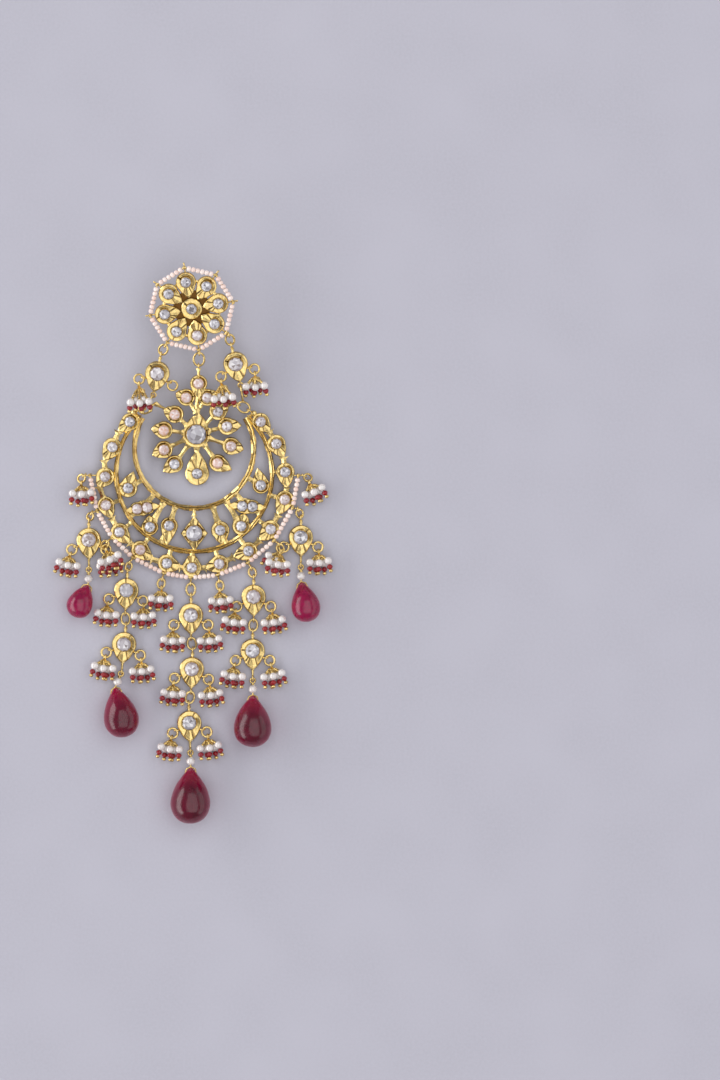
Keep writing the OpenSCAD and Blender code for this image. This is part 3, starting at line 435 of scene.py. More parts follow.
    def place_strands(self):
        self.links, self.strand_rings, self.strand_hangs, self.side_rings = [], [], [], []
        self.strand_ends = []
        for strand, leans in enumerate(LINK_LEAN):
            eye = self.corner_eyes[STRAND_CORNER[strand]]
            lean, drop = STRAND_START[strand]
            fall = math.asin((eye.z - self.rest) / (drop * MM))
            top = put(eye, math.radians(lean), fall) @ down(drop * MM)
            rings, places, hangs, sides = [(eye, top)], [], [], []
            for i, lean in enumerate(leans):
                if i > 0:
                    low = places[-1] @ down(self.link_tip + SHORT_EYE)
                    top = put(low, math.radians(RING_LEAN[strand][i - 1])) @ down(
                        self.s.ring_pitch)
                    rings.append((low, top))
                places.append(put(top, math.radians(lean)))
                for side, own in zip((-1, 1), map(math.radians, TASSEL_LEAN[strand][i])):
                    mid = places[-1] @ self.side_ring_mid(side)
                    sides.append(Matrix.Translation(mid))
                    hangs.append((put(put(mid, own) @ down(TASSEL_RING_R), own), side, 0.0))
            self.links.append(places)
            self.strand_rings.append(rings)
            self.strand_hangs.append(hangs)
            self.side_rings.append(sides)
            self.strand_ends.append(places[-1] @ down(self.link_tip + LONG_EYE))

    def place_drops(self):
        s = self.s
        self.wires, self.drops, self.drop_sizes = [], [], []
        self.pearl_at = self.eye_r + 0.5 * MM + s.drop_pearl_r
        reach = self.eye_r + self.pearl_at + s.drop_pearl_r + 0.45 * MM
        for end, (w_share, len_share, lean, drop_lean) in zip(self.strand_ends, DROPS):
            w, long = w_share * s.drop_w, len_share * s.drop_len
            rise = math.asin((TIP_SHARE * w - self.rest) / reach)
            wire = put(end, math.radians(lean), -rise)
            belly = math.asin((0.5 - TIP_SHARE) * w / (BELLY_AT * long))
            self.wires.append(wire)
            self.drops.append(put(wire @ down(reach), math.radians(drop_lean), -belly))
            self.drop_sizes.append((w, long))


# Building meshes

class Shape:
    """Points and faces that are gathered into one mesh. Each face has a value of painted light and
    shade for its colour, and a tint.
    """

    def __init__(self):
        self.points = []
        self.faces = []
        self.tones = []
        self.tints = []
        self.soft = set()

    def add(self, points, faces, place=None, tone=0.0, tint=0.0):
        base = len(self.points)
        self.points += [place @ Vector(p) for p in points] if place else [Vector(p) for p in points]
        self.faces += [[base + i for i in face] for face in faces]
        self.tones += tone if isinstance(tone, list) else [tone] * len(faces)
        self.tints += [tint] * len(faces)

    def rows(self, rows, place=None, wrap=True, closed=False, tone=0.0):
        """Joins rows of points: wrap closes each row, closed joins the last row to the first. The
        painted light and shade of the faces is one number, one for each row, or one for each face of
        each row."""
        count = len(rows[0])
        faces, tones = [], []
        for i in range(len(rows) if closed else len(rows) - 1):
            k = (i + 1) % len(rows)
            shade = tone[i] if isinstance(tone, list) else tone
            for j in range(count if wrap else count - 1):
                m = (j + 1) % count
                faces.append([i * count + j, i * count + m, k * count + m, k * count + j])
                tones.append(shade[j] if isinstance(shade, list) else shade)
        self.add([p for row in rows for p in row], faces, place, tones)

    def turned_solid(self, profile, place, around=20, tone=0.0, tint=0.0):
        """A solid turned about its Z axis from (radius, height) pairs. A radius of 0 is a pole."""
        points, starts = [], []
        for r, z in profile:
            starts.append(len(points))
            points += [(r * math.cos(math.tau * j / around), r * math.sin(math.tau * j / around), z)
                       for j in range(around)] if r > 0 else [(0, 0, z)]
        faces = []
        for i in range(len(profile) - 1):
            a, b = starts[i], starts[i + 1]
            for j in range(around):
                m = (j + 1) % around
                if profile[i][0] > 0 and profile[i + 1][0] > 0:
                    faces.append([a + j, a + m, b + m, b + j])
                elif profile[i][0] > 0:
                    faces.append([a + j, a + m, b])
                else:
                    faces.append([a, b + m, b + j])
        self.soft.update(range(len(self.faces), len(self.faces) + len(faces)))
        self.add(points, faces, place, tone, tint)

    def ball(self, place, r, squash, around, tint=0.0):
        """A ball that is flattened along its Z axis by squash."""
        half = around // 2
        profile = [(0, -r * squash)]
        for i in range(1, half):
            a = math.pi * i / half
            profile.append((r * math.sin(a), -r * squash * math.cos(a)))
        profile.append((0, r * squash))
        self.turned_solid(profile, place, around, tint=tint)

    def tube(self, route, radius, sides=10, closed=False):
        """A round wire along a route, with its ends closed. Radius is one number or one a point."""
        count = len(route)
        radii = radius if isinstance(radius, list) else [radius] * count
        rows, across = [], None
        for i, at in enumerate(route):
            after = route[(i + 1) % count] if closed else route[min(i + 1, count - 1)]
            before = route[i - 1] if closed else route[max(i - 1, 0)]
            way = (after - before).normalized()
            if across is None:
                across = way.orthogonal().normalized()
            across = (across - way * across.dot(way)).normalized()
            up = way.cross(across)
            rows.append([at + radii[i] * (math.cos(math.tau * j / sides) * across
                                          + math.sin(math.tau * j / sides) * up)
                         for j in range(sides)])
        base, first = len(self.points), len(self.faces)
        self.rows(rows, closed=closed)
        self.soft.update(range(first, len(self.faces)))
        if not closed:
            last = base + (count - 1) * sides
            self.faces += [[base + j for j in reversed(range(sides))],
                           [last + j for j in range(sides)]]
            self.tones += [0.0] * 2
            self.tints += [0.0] * 2

    def ring(self, place, r, wire, around=30, sides=10, cut=0.0, narrow=1.0):
        """A wire ring in its place's XY plane, narrower across Y if narrow is below 1. With a cut
        it is open by a hair at that angle."""
        hair = 0.07
        if cut:
            start = math.radians(cut)
            turns = [start + (math.tau - hair) * i / around for i in range(around + 1)]
        else:
            turns = [math.tau * i / around for i in range(around)]
        route = [place @ Vector((r * math.cos(a), narrow * r * math.sin(a), 0)) for a in turns]
        self.tube(route, wire, sides, closed=not cut)

    def ring_between(self, a, b, wire, roll=0.0, cut=100.0):
        """An oval ring whose long axis runs from a to b."""
        way = b - a
        place = (Matrix.Translation((a + b) / 2)
                 @ Matrix.Rotation(math.atan2(way.y, way.x), 4, "Z")
                 @ Matrix.Rotation(-math.asin(way.z / way.length), 4, "Y")
                 @ Matrix.Rotation(roll, 4, "X"))
        self.ring(place, way.length / 2, wire, cut=cut, narrow=0.74)

    def eye(self, place, at, way, r, wire):
        """A wire eye at a point, whose hole lies across the way."""
        self.ring(place @ Matrix.Translation(at) @ turned(way) @ Matrix.Rotation(math.pi / 2, 4, "X"),
                  r, wire, around=24)

    def coil(self, place, start, end, r, wire, turns):
        """A close winding of wire about the line from start to end."""
        frame_at = aimed(place @ start, place @ end)
        high = (end - start).length
        steps = 10 * turns
        route = [frame_at @ Vector((r * math.cos(math.tau * turns * i / steps),
                                    r * math.sin(math.tau * turns * i / steps),
                                    high * i / steps)) for i in range(steps + 1)]
        self.tube(route, wire, 6)

    def stone(self, place, r, s, seed, tint=0.0, square=False):
        """A round stone: girdle, mains, stars, and a table that is eight-sided or square."""
        rng = random.Random(seed)
        girdle_z = s.plate / 2 + STONE_GAP
        top = girdle_z + (s.collet_h - STONE_GAP)
        star_r, star_h, corner = r * 0.8, s.crown_h * 0.6, 0.62 * r
        low = [polar(r, 22.5 * i, girdle_z) for i in range(16)]
        girdle = [polar(r, 22.5 * i, top) for i in range(16)]
        star = [polar(star_r, 45 * i + 22.5, top + star_h) for i in range(8)]
        flat = [polar(corner if not square or i % 2 == 0 else corner * math.cos(math.pi / 4),
                      45 * i, top + s.crown_h) for i in range(8)]
        points = low + girdle + star + flat + [Vector((0, 0, top + s.crown_h))]
        faces = [[i, (i + 1) % 16, 16 + (i + 1) % 16, 16 + i] for i in range(16)]
        # Painted light: each facet gets a random brightness, from painted shade to a painted glint,
        # and the girdle is painted dark as shade
        tones = [0.0] * 16
        pane = [rng.choice((0.08, 0.35, 0.55, 0.7, 0.95)) for _ in range(8)]
        for i in range(8):
            main = 16 + 2 * i
            faces += [[main, 32 + i, 40 + i], [main, 40 + i, 32 + (i - 1) % 8],
                      [main, main + 1, 32 + i], [main + 1, 16 + (2 * i + 2) % 16, 32 + i],
                      [40 + i, 32 + i, 40 + (i + 1) % 8], [40 + i, 40 + (i + 1) % 8, 48]]
            shade = rng.uniform(0.25, 0.85)
            tones += [shade, shade, 0.3 * rng.random(), 0.3 * rng.random(),
                      rng.uniform(0.2, 1.0), 0.0 if square else pane[i]]
        self.add(points, faces, place, tones, tint)

    def leaf(self, place, edge, bed, s, seed, ridge=0.0, around=72, tips=(0.0,)):
        """A cast leaf around its setting. edge and bed give the radius of the leaf's outline and of
        its collet at an angle. Its top is cut with a graver into flat facets that meet in
        creases, and a ridge runs out into each tip."""
        rng = random.Random(seed)
        top = s.plate / 2
        cuts = facet_cuts(rng, tips, s.border_h, ridge)
        wall = s.collet_wall - COLLET_THINNED
        graved = [0.0] * around
        for tip in tips:
            for side in (-4, 4):
                graved[(round(tip / math.tau * around) + side) % around] = GRAVED
        for _ in range(2):
            graved[rng.randrange(around)] = GRAVED
        columns = []
        for i in range(around):
            a = math.tau * i / around
            out, inn = edge(a), bed(a) - 0.12 * MM
            room = out - inn
            crest_share, high, low, slope = cut_at(cuts, a)
            crest = out - max(crest_share * room, 0.2 * MM)
            fall = min(1.0, room / (1.2 * MM))
            column = [
                (out - 0.06 * MM, -top),
                (out, CHAMFER - top),
                (out, top - CHAMFER),
                (out - 0.07 * MM, top + 0.04 * MM),
                (crest, top + high),
                (crest - 0.1 * MM, top + high - graved[i] * 0.6),
                (inn + 0.05 * MM, top + low * fall + slope - graved[i]),
                (inn + 0.02 * MM, top + s.collet_h * 0.7),
                (inn - 0.05 * MM, top + s.collet_h),
                (inn - wall * 0.9, top + s.collet_h - 0.01 * MM),
                (inn - wall, top + 0.05 * MM),
            ]
            bent = Vector((math.cos(a), math.sin(a), 0))
            columns.append([bent * r + Vector((0, 0, z)) for r, z in column])
        rows = [list(row) for row in zip(*columns)]
        # Painted shade: the graved lines, the walls and chamfers, the foot and inside of the collet
        # and the caps are darkened toward the deep gold
        line_shade = [0.75 if graved[j] or graved[(j + 1) % around] else 0.05 for j in range(around)]
        self.rows(rows, place, tone=[0.7, 0.5, 0.3, 0.0, line_shade, line_shade, 1.0, 0.4, 0.0, 1.0])
        for row, z, order, tone in ((rows[-1], top + 0.05 * MM, 1, 0.9), (rows[0], -top, -1, 0.5)):
            faces = [[i, (i + 1) % around, around][::order] for i in range(around)]
            self.add(row + [Vector((0, 0, z))], faces, place, tone)

    def rib(self, place, a, b, w, s, high=0.2 * MM):
        """A bar with a roof-shaped top that flares where it meets other metal."""
        rng = random.Random(round(a.x / MM * 7 + b.y / MM * 13))
        way = (b - a).normalized()
        side = Vector((-way.y, way.x, 0))
        top = s.plate / 2
        steps, waist, flare, uneven = 6, 0.82, 0.9, 0.08
        rows = []
        for i in range(steps + 1):
            t = i / steps
            wide = w / 2 * (waist + flare * (2 * t - 1) ** 4 + uneven * rng.uniform(-1, 1))
            ridge = 0.3 * rng.uniform(-1, 1)
            at = a + (b - a) * t
            rows.append([at + side * x * wide + Vector((0, 0, z)) for x, z in (
                (-0.9, -top), (-1, -top * 0.6), (-1, top * 0.75), (ridge, top + high),
                (1, top * 0.75), (1, -top * 0.6), (0.9, -top))])
        self.rows(rows, place, tone=0.15)
        self.ends(rows, place)

    def ends(self, rows, place):
        """Closes both ends of a bar."""
        count = len(rows[0])
        self.add(rows[0] + rows[-1],
                 [list(range(count)), list(range(2 * count - 1, count - 1, -1))], place, 0.3)

    def rim(self, place, r, w, start, s, seed):
        """A curved rim from an angle round to its mirror image. Its bevelled top is cut in uneven
        facets, with a graved line along it."""
        rng = random.Random(seed)
        top, crest = s.plate / 2, s.plate / 2 + s.border_h
        stop = 540 - start
        steps = 54
        rows = []
        for i in range(steps + 1):
            wide = w * (1 + 0.14 * rng.uniform(-1, 1))
            skew = 0.22 * rng.uniform(-1, 1)
            out = polar(1, start + (stop - start) * i / steps)
            rows.append([out * (r + x * wide / 2) + Vector((0, 0, z)) for x, z in (
                (-0.9, -top), (-1, -top * 0.7), (-1, top * 0.8), (-0.35 + skew, crest),
                (0.1 + skew, top + 0.12 * MM), (0.42 + skew, crest * 0.98), (1, top * 0.7),
                (1, -top * 0.7), (0.9, -top))])
        # Painted shade: the rim's sides and its graved line are darkened toward the deep gold
        across = [0.3, 0.5, 0.1, 0.75, 0.0, 0.1, 0.6, 0.3]
        self.rows(rows, place, wrap=False, tone=[across] * steps)
        self.rows([[row[-1], row[0]] for row in rows], place, wrap=False, tone=0.5)
        self.ends(rows, place)

    def beads(self, place, start, end, r, rng):
        """Seed beads side by side on the line from start to end."""
        way = end - start
        count = max(1, round(way.length / SEED_PITCH))
        step = way / count
        half = step.length / 2
        hole = 0.3
        for i in range(count):
            fat = r * rng.uniform(0.93, 1.04)
            thick = half * rng.uniform(0.9, 0.99)
            mid = start + step * (i + 0.5)
            tilt = Vector((rng.uniform(-0.08, 0.08), rng.uniform(-0.08, 0.08), 0)) * way.length
            profile = [(hole * fat, -thick * 0.8)]
            for k in range(9):
                a = math.pi * k / 8
                profile.append((fat * (hole + (1 - hole) * math.sin(a) ** 0.75),
                                -thick * math.cos(a)))
            profile.append((hole * fat, thick * 0.8))
            self.turned_solid(profile, place @ aimed(mid, mid + way + tilt), 18, tint=rng.random())

    def finished(self, name, finish, *nodes, uneven=0.0, **wanted):
        """Makes the object, which rides on the body and stands for its CAD nodes. Edges are sharp
        above the finish's crease angle. Wires and balls stay smooth up to 60 degrees."""
        material, slot, crease = FINISHES[finish]
        mesh = bpy.data.meshes.new(name)
        if uneven:
            noise.seed_set(UNEVEN_SEED)
            self.points = [p + uneven * noise.noise_vector(p / UNEVEN_PITCH) for p in self.points]
        mesh.from_pydata(self.points, [], self.faces)
        # Each face's painted light and shade value and its tint go to the mesh as face attributes
        for label, values in (("tone", self.tones), ("tint", self.tints)):
            layer = mesh.attributes.new(label, "FLOAT", "FACE")
            layer.data.foreach_set("value", values)
        mesh.polygons.foreach_set("use_smooth", [True] * len(self.faces))
        built = bmesh.new()
        built.from_mesh(mesh)
        built.faces.ensure_lookup_table()
        for edge in built.edges:
            sides = edge.link_faces
            soft = all(face.index in self.soft for face in sides)
            limit = math.radians(60 if soft else crease)
            edge.smooth = len(sides) == 2 and edge.calc_face_angle(0) < limit
        built.to_mesh(mesh)
        built.free()
        mesh.materials.append(material(**wanted))
        piece = bpy.data.objects.new(name, mesh)
        bpy.context.scene.collection.objects.link(piece)
        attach(piece, "root")
        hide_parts(*nodes)


def facet_cuts(rng, tips, border, ridge):
    """Angles at which a leaf's top is creased, each with where its crest lies across the leaf, how
    high the crest and the hollow are, and the rise to the collet."""
    cuts = []
    count = 9
    for i in range(count):
        a = math.tau * (i + 0.5 + 0.25 * rng.uniform(-1, 1)) / count
        if all(abs(math.remainder(a - tip, math.tau)) > 0.3 for tip in tips):
            cuts.append((a, rng.uniform(0.1, 0.3), border * rng.uniform(0.55, 1.05),
                         border * rng.uniform(-0.2, 0.3), 0.08 * MM * rng.random()))
    for tip in tips:
        cuts.append((tip % math.tau, 0.22, border * 0.8, ridge + 0.1 * MM, 0.12 * MM))
        for side in (-1, 1):
            cuts.append(((tip + side * 0.3) % math.tau, 0.12, border * 0.75, 0.06 * MM, 0.04 * MM))
    return sorted(cuts)


def cut_at(cuts, angle):
    """The values of the cuts at an angle, straight between each two."""
    before = max((c for c in cuts if c[0] <= angle), default=cuts[-1])
    after = min((c for c in cuts if c[0] > angle), default=cuts[0])
    span = (after[0] - before[0]) % math.tau
    t = ((angle - before[0]) % math.tau) / span if span else 0.0
    return [x + (y - x) * t for x, y in zip(before[1:], after[1:])]


def round_with_tips(r, reach, back=0.0):
    """The outline of a round leaf with a tip along +X and, if back is set, one along -X."""
    def edge(angle):
        out = r
        for tip, turn in ((reach, 0.0), (back, math.pi)):
            if tip > r:
                half = math.acos(r / tip)
                off = abs(math.remainder(angle - turn, math.tau))
                if off < half:
                    full = 1 + LEAF_FULLNESS * math.sin(math.pi * off / half)
                    out = max(out, full * r / math.cos(half - off))
        return out
    return edge


def diamond(half_w, half_h):
    return lambda angle: 1 / (abs(math.cos(angle)) / half_w + abs(math.sin(angle)) / half_h)


def round_bed(r):
    return lambda angle: r


def twin_bed(r, step):
    """The outline of two round collets that stand side by side along X."""
    return lambda angle: (step * abs(math.cos(angle))
                          + math.sqrt(max(0.0, r * r - (step * math.sin(angle)) ** 2)))


# Materials

def node(tree, kind, inputs=None, **settings):
    made = tree.nodes.new(kind)
    for key, value in settings.items():
        setattr(made, key, value)
    for key, value in (inputs or {}).items():
        if isinstance(value, bpy.types.NodeSocket):
            tree.links.new(value, made.inputs[key])
        else:
            made.inputs[key].default_value = value
    return made


def mixed(tree, factor, a, b):
    """A colour mix whose ends are colours or sockets."""
    made = tree.nodes.new("ShaderNodeMix")
    made.data_type = "RGBA"
    for key, value in ((0, factor), (6, a), (7, b)):
        if isinstance(value, bpy.types.NodeSocket):
            tree.links.new(value, made.inputs[key])
        else:
            made.inputs[key].default_value = value if key == 0 else (*value, 1)
    return made.outputs[2]


def ranged(tree, value, low, high, start=0.0, stop=1.0):
    made = node(tree, "ShaderNodeMapRange", {0: value, 1: start, 2: stop, 3: low, 4: high})
    return made.outputs[0]


def hand_worked_group():
    """A shared group: uneven planished spots and fine scratches, measured in millimetres."""
    name = "Hand worked surface"
    tree = bpy.data.node_groups.get(name)
    if tree:
        return tree
    tree = bpy.data.node_groups.new(name, "ShaderNodeTree")
    sockets = tree.interface
    for label, value in (("Spots per mm", 1.0), ("Scratches per mm", 6.0), ("Unevenness", 0.5)):
        socket = sockets.new_socket(label, in_out="INPUT", socket_type="NodeSocketFloat")
        socket.default_value = value
    for label in ("Height", "Mask"):
        sockets.new_socket(label, in_out="OUTPUT", socket_type="NodeSocketFloat")
    entry = node(tree, "NodeGroupInput")
    where = node(tree, "ShaderNodeTexCoord").outputs["Object"]
    mm = node(tree, "ShaderNodeVectorMath", {0: where, 1: (1 / MM,) * 3}, operation="MULTIPLY")
    drift, fine = (
        node(tree, "ShaderNodeTexNoise",
             {"Vector": mm.outputs[0], "Scale": entry.outputs[label], "Detail": 1.0}).outputs[0]
        for label in ("Spots per mm", "Scratches per mm"))
    rough = node(tree, "ShaderNodeMath", {0: fine, 1: entry.outputs["Unevenness"]},
                 operation="MULTIPLY")
    height = node(tree, "ShaderNodeMath", {0: drift, 1: rough.outputs[0]}, operation="ADD")
    mask = node(tree, "ShaderNodeMath", {0: drift, 1: fine}, operation="MULTIPLY")
    node(tree, "NodeGroupOutput", {"Height": height.outputs[0], "Mask": mask.outputs[0]})
    return tree


def worked(tree, grain, output):
    """One output of the shared group. grain: spots and scratches per mm, unevenness."""
    made = node(tree, "ShaderNodeGroup")
    made.node_tree = hand_worked_group()
    for key, value in zip(("Spots per mm", "Scratches per mm", "Unevenness"), grain):
        made.inputs[key].default_value = value
    return made.outputs[output]


def marks(tree, grain, low, high, start=0.1, stop=0.5):
    """A value from low to high that follows the grain's mask."""
    return ranged(tree, worked(tree, grain, "Mask"), low, high, start, stop)


def face_value(tree, label):
    return node(tree, "ShaderNodeAttribute", attribute_name=label).outputs["Fac"]


def new_material(name, values, base, roughness=None, relief=None):
    """A material with one shader. values are set on the shader's own sockets and base builds its
    colour. roughness is a grain with its lowest and highest value, and relief is a grain with
    the strength and distance of its bump."""
    material = bpy.data.materials.new(name)
    material.use_nodes = True
    tree = material.node_tree
    shader = tree.nodes["Principled BSDF"]
    for key, value in values.items():
        shader.inputs[key].default_value = value
    tree.links.new(base(tree), shader.inputs["Base Color"])
    if roughness:
        tree.links.new(marks(tree, *roughness), shader.inputs["Roughness"])
    if relief:
        grain, strength, distance = relief
        bumped = node(tree, "ShaderNodeBump", {"Strength": strength, "Distance": distance * MM,
                                               "Height": worked(tree, grain, "Height")})
        tree.links.new(bumped.outputs[0], shader.inputs["Normal"])
    return material


def made_once(build):
    """Keeps a material so that pieces share it."""
    def get(**wanted):
        name = build.__name__.replace("_", " ")
        name += "".join(f" {key}" for key, value in wanted.items() if value)
        made = bpy.data.materials.get(name)
        return made or build(name, bpy.context.scene.earring_colours, **wanted)
    return get


@made_once
def cut_gold(name, c):
    """Bright gold with graver cuts, mottled at random, and darkened toward the deep gold by painted
    shade in the hollows, on the walls and in the graved lines.
    """
    def base(tree):
        near = mixed(tree, marks(tree, (1.3, 7, 0.4), 0, 0.5, 0.12, 0.45), c.gold, c.gold_deep)
        # Painted shade: each face's painted light and shade value darkens the gold toward the deep
        # gold
        return mixed(tree, ranged(tree, face_value(tree, "tone"), 0, 0.98), near, c.gold_deep)

    return new_material(name, {"Metallic": 1.0, "Specular Tint": (1, 0.95, 0.75, 1)}, base,
                        ((0.9, 9, 0.5), 0.16, 0.34), ((1.1, 6, 0.35), 0.35, 0.12))


@made_once
def wire_gold(name, c):
    """Drawn gold wire, smoother than the cast leaves."""
    def base(tree):
        return mixed(tree, marks(tree, (0.8, 5, 0.3), 0, 0.7, 0.1, 0.45), c.gold, c.gold_deep)

    return new_material(name, {"Metallic": 1.0}, base,
                        ((2, 10, 0.5), 0.14, 0.3), ((2.5, 9, 0.3), 0.15, 0.05))


@made_once
def cut_stone(name, c):
    """Clear stones on foil with painted light: each facet is painted from dark shade to a bright
    glint, and some stones are peach.
    """
    def base(tree):
        tone = face_value(tree, "tone")
        # Painted light: the faces' values mix painted shade, the mid stone and painted glints, in the
        # warm stones as well
        dark = mixed(tree, ranged(tree, tone, 0, 1, 0.0, 0.4), c.stone_dark, c.stone)
        cool = mixed(tree, ranged(tree, tone, 0, 1, 0.55, 1.0), dark, c.stone_light)
        warm = mixed(tree, ranged(tree, tone, 0.12, 0.75, 0.2, 1.0), c.stone_warm, c.stone_light)
        blend = mixed(tree, face_value(tree, "tint"), cool, warm)
        return mixed(tree, marks(tree, (1.5, 4, 0.5), 0, 0.25, 0.2), blend, c.stone)

    return new_material(name, {"Roughness": 0.06, "IOR": 1.8, "Coat Weight": 0.6,
                               "Coat Roughness": 0.03}, base)


@made_once
def lustrous_pearl(name, c):
    """White pearls with rosy patches and a soft lustre."""
    def base(tree):
        return mixed(tree, marks(tree, (0.5, 2.5, 0.6), 0, 0.55, 0.15), c.pearl, c.pearl_blush)

    values = {"IOR": 1.55, "Coat Weight": 1.0, "Coat Roughness": 0.03, "Coat IOR": 2.0,
              "Sheen Weight": 0.15, "Sheen Roughness": 0.3, "Sheen Tint": (1, 0.7, 0.66, 1)}
    return new_material(name, values, base,
                        ((1.5, 5, 0.4), 0.12, 0.26), ((0.8, 4, 0.3), 0.08, 0.04))


@made_once
def seed_bead(name, c):
    """Peach beads of the strings, each of its own paleness."""
    def base(tree):
        paler = mixed(tree, face_value(tree, "tint"), c.seed, c.seed_pale)
        return mixed(tree, marks(tree, (0.8, 3, 0.5), 0, 0.3, 0.15), paler, c.pearl_blush)

    return new_material(name, {"Coat Weight": 1.0, "Coat Roughness": 0.05}, base,
                        ((1.5, 5, 0.4), 0.16, 0.3))


@made_once
def garnet_bead(name, c):
    """Small dark red glass beads."""
    def base(tree):
        deep = tuple(0.35 * x for x in c.garnet)
        clouded = mixed(tree, marks(tree, (0.7, 3, 0.5), 0, 0.5, 0.15), c.garnet, deep)
        return mixed(tree, ranged(tree, face_value(tree, "tint"), 0, 0.35), clouded, c.ruby)

    return new_material(name, {"Roughness": 0.1, "IOR": 1.5, "Coat Weight": 0.15,
                               "Coat Roughness": 0.04}, base)


@made_once
def ruby_drop(name, c, bright):
    """Polished red drops with a painted glow: paler red low down near the table, standing in for
    light through the thin edge, and faint silk inside.
    """
    def base(tree):
        red = c.ruby_bright if bright else c.ruby
        deep = mixed(tree, marks(tree, (0.22, 0.9, 0.8), 0.1, 0.8, 0.15), red,
                     tuple(0.4 * x for x in red))
        # Painted glow: by height, the drop's lower part near the table is mixed toward the paler red
        where = node(tree, "ShaderNodeTexCoord").outputs["Object"]
        high = node(tree, "ShaderNodeSeparateXYZ", {0: where}).outputs[2]
        top = (5 if bright else 9) * MM
        return mixed(tree, ranged(tree, high, 0, 1, 0.25 * top, 0.95 * top), c.ruby_edge, deep)

    values = {"IOR": 1.5, "Transmission Weight": 0.5, "Coat Weight": 0.12, "Coat Roughness": 0.05}
    return new_material(name, values, base, ((0.3, 1.2, 0.5), 0.16, 0.3))


@made_once
def pale_table(name, c):
    """A matt pale table with a fine grain."""
    def base(tree):
        dim = tuple(0.93 * x for x in c.table)
        return mixed(tree, marks(tree, (0.05, 1.5, 0.6), 0, 1), c.table, dim)

    return new_material(name, {"Roughness": 0.85}, base, None, ((0.4, 3, 0.8), 0.1, 0.05))


# Finishes: material, colour slot, and the angle above which an edge is a crease
FINISHES = {
    "cut gold": (cut_gold, "gold", 7), "wire": (wire_gold, "gold", 60),
    "stone": (cut_stone, "clear_stone", 1), "pearl": (lustrous_pearl, "pearl", 60),
    "seed": (seed_bead, "pearl", 60), "garnet": (garnet_bead, "red_drop", 60),
    "drop": (ruby_drop, "red_drop", 80),
}


# Pieces

def add_petal(golds, lay, place, r, reach, seed, ridge=0.14 * MM):
    """A round leaf with one tip, about the collet of a small stone."""
    golds.leaf(place, round_with_tips(r, reach), round_bed(lay.collet_r), lay.s, seed, ridge)


def add_stone(shape, lay, place, r, seed, tint=0.0, square=False):
    shape.stone(place @ turned(17 * seed % 45), r + STONE_GROWN, lay.s, seed, tint, square)


def add_link(shape, lay, place, low_eye, flat_eye, seed):
    """One leaf link: its leaf, neck, ridge below the stone, and the eyes about it."""
    s = lay.s
    body = place @ moved(0, -lay.link_centre) @ turned(-90)
    bed = s.link_stone_r + STONE_GAP + s.collet_wall
    shape.leaf(body, round_with_tips(lay.link_r, s.link_len - lay.link_r), round_bed(bed), s,
               seed, ridge=0.18 * MM)
    start, stop = bed - 0.05 * MM, s.link_len - lay.link_r - 0.75 * MM
    shape.rows([[Vector((x, y * wide * MM, s.plate / 2 + z * wide * MM)) for y, z in (
        (-1.5, -0.1), (-0.9, 0.25), (0, 0.85), (0.9, 0.25), (1.5, -0.1))]
        for x, wide in ((start, 0.5), (start + 0.35 * (stop - start), 0.42), (stop, 0.06))],
        body, wrap=False)
    shape.eye(place, Vector(), 90, lay.eye_r, s.eye_wire)
    neck_top = lay.eye_r * 0.9
    neck = [place @ down(neck_top + (s.link_neck + 0.5 * MM - neck_top) * t / 6)
            for t in range(7)]
    shape.tube(neck, [x * MM for x in (0.3, 0.3, 0.34, 0.3, 0.33, 0.42, 0.6)], 12)
    shape.coil(place, down(lay.eye_r + 0.15 * MM), down(lay.eye_r + 0.75 * MM),
               0.36 * MM, BINDING_R, 2)
    low = down(lay.link_tip + low_eye)
    if flat_eye:
        shape.ring(place @ Matrix.Translation(low), lay.eye_r, s.eye_wire, 24)
    else:
        shape.eye(place, low, 90, lay.eye_r, s.eye_wire)
    foot = [place @ down(lay.link_tip - 0.7 * MM + (low_eye - lay.eye_r + 0.75 * MM) * t / 4)
            for t in range(5)]
    shape.tube(foot, [x * MM for x in (0.34, 0.34, 0.28, 0.26, 0.28)], 12)
    x, y = lay.side_eye
    for side in (-1, 1):
        shape.eye(place, Vector((side * x, y, 0)), 0, lay.eye_r, s.eye_wire)
        shape.tube([place @ Vector((side * (x - lay.eye_r * 1.9), y + 0.25 * MM, 0)),
                    place @ Vector((side * (x - lay.eye_r * 0.95), y, 0))], 0.26 * MM)


def add_link_stone(shape, lay, place, seed, tint):
    shape.stone(place @ moved(0, -lay.link_centre) @ turned(22.5 + 11 * (seed % 3)),
                lay.s.link_stone_r + STONE_GROWN, lay.s, seed, tint)


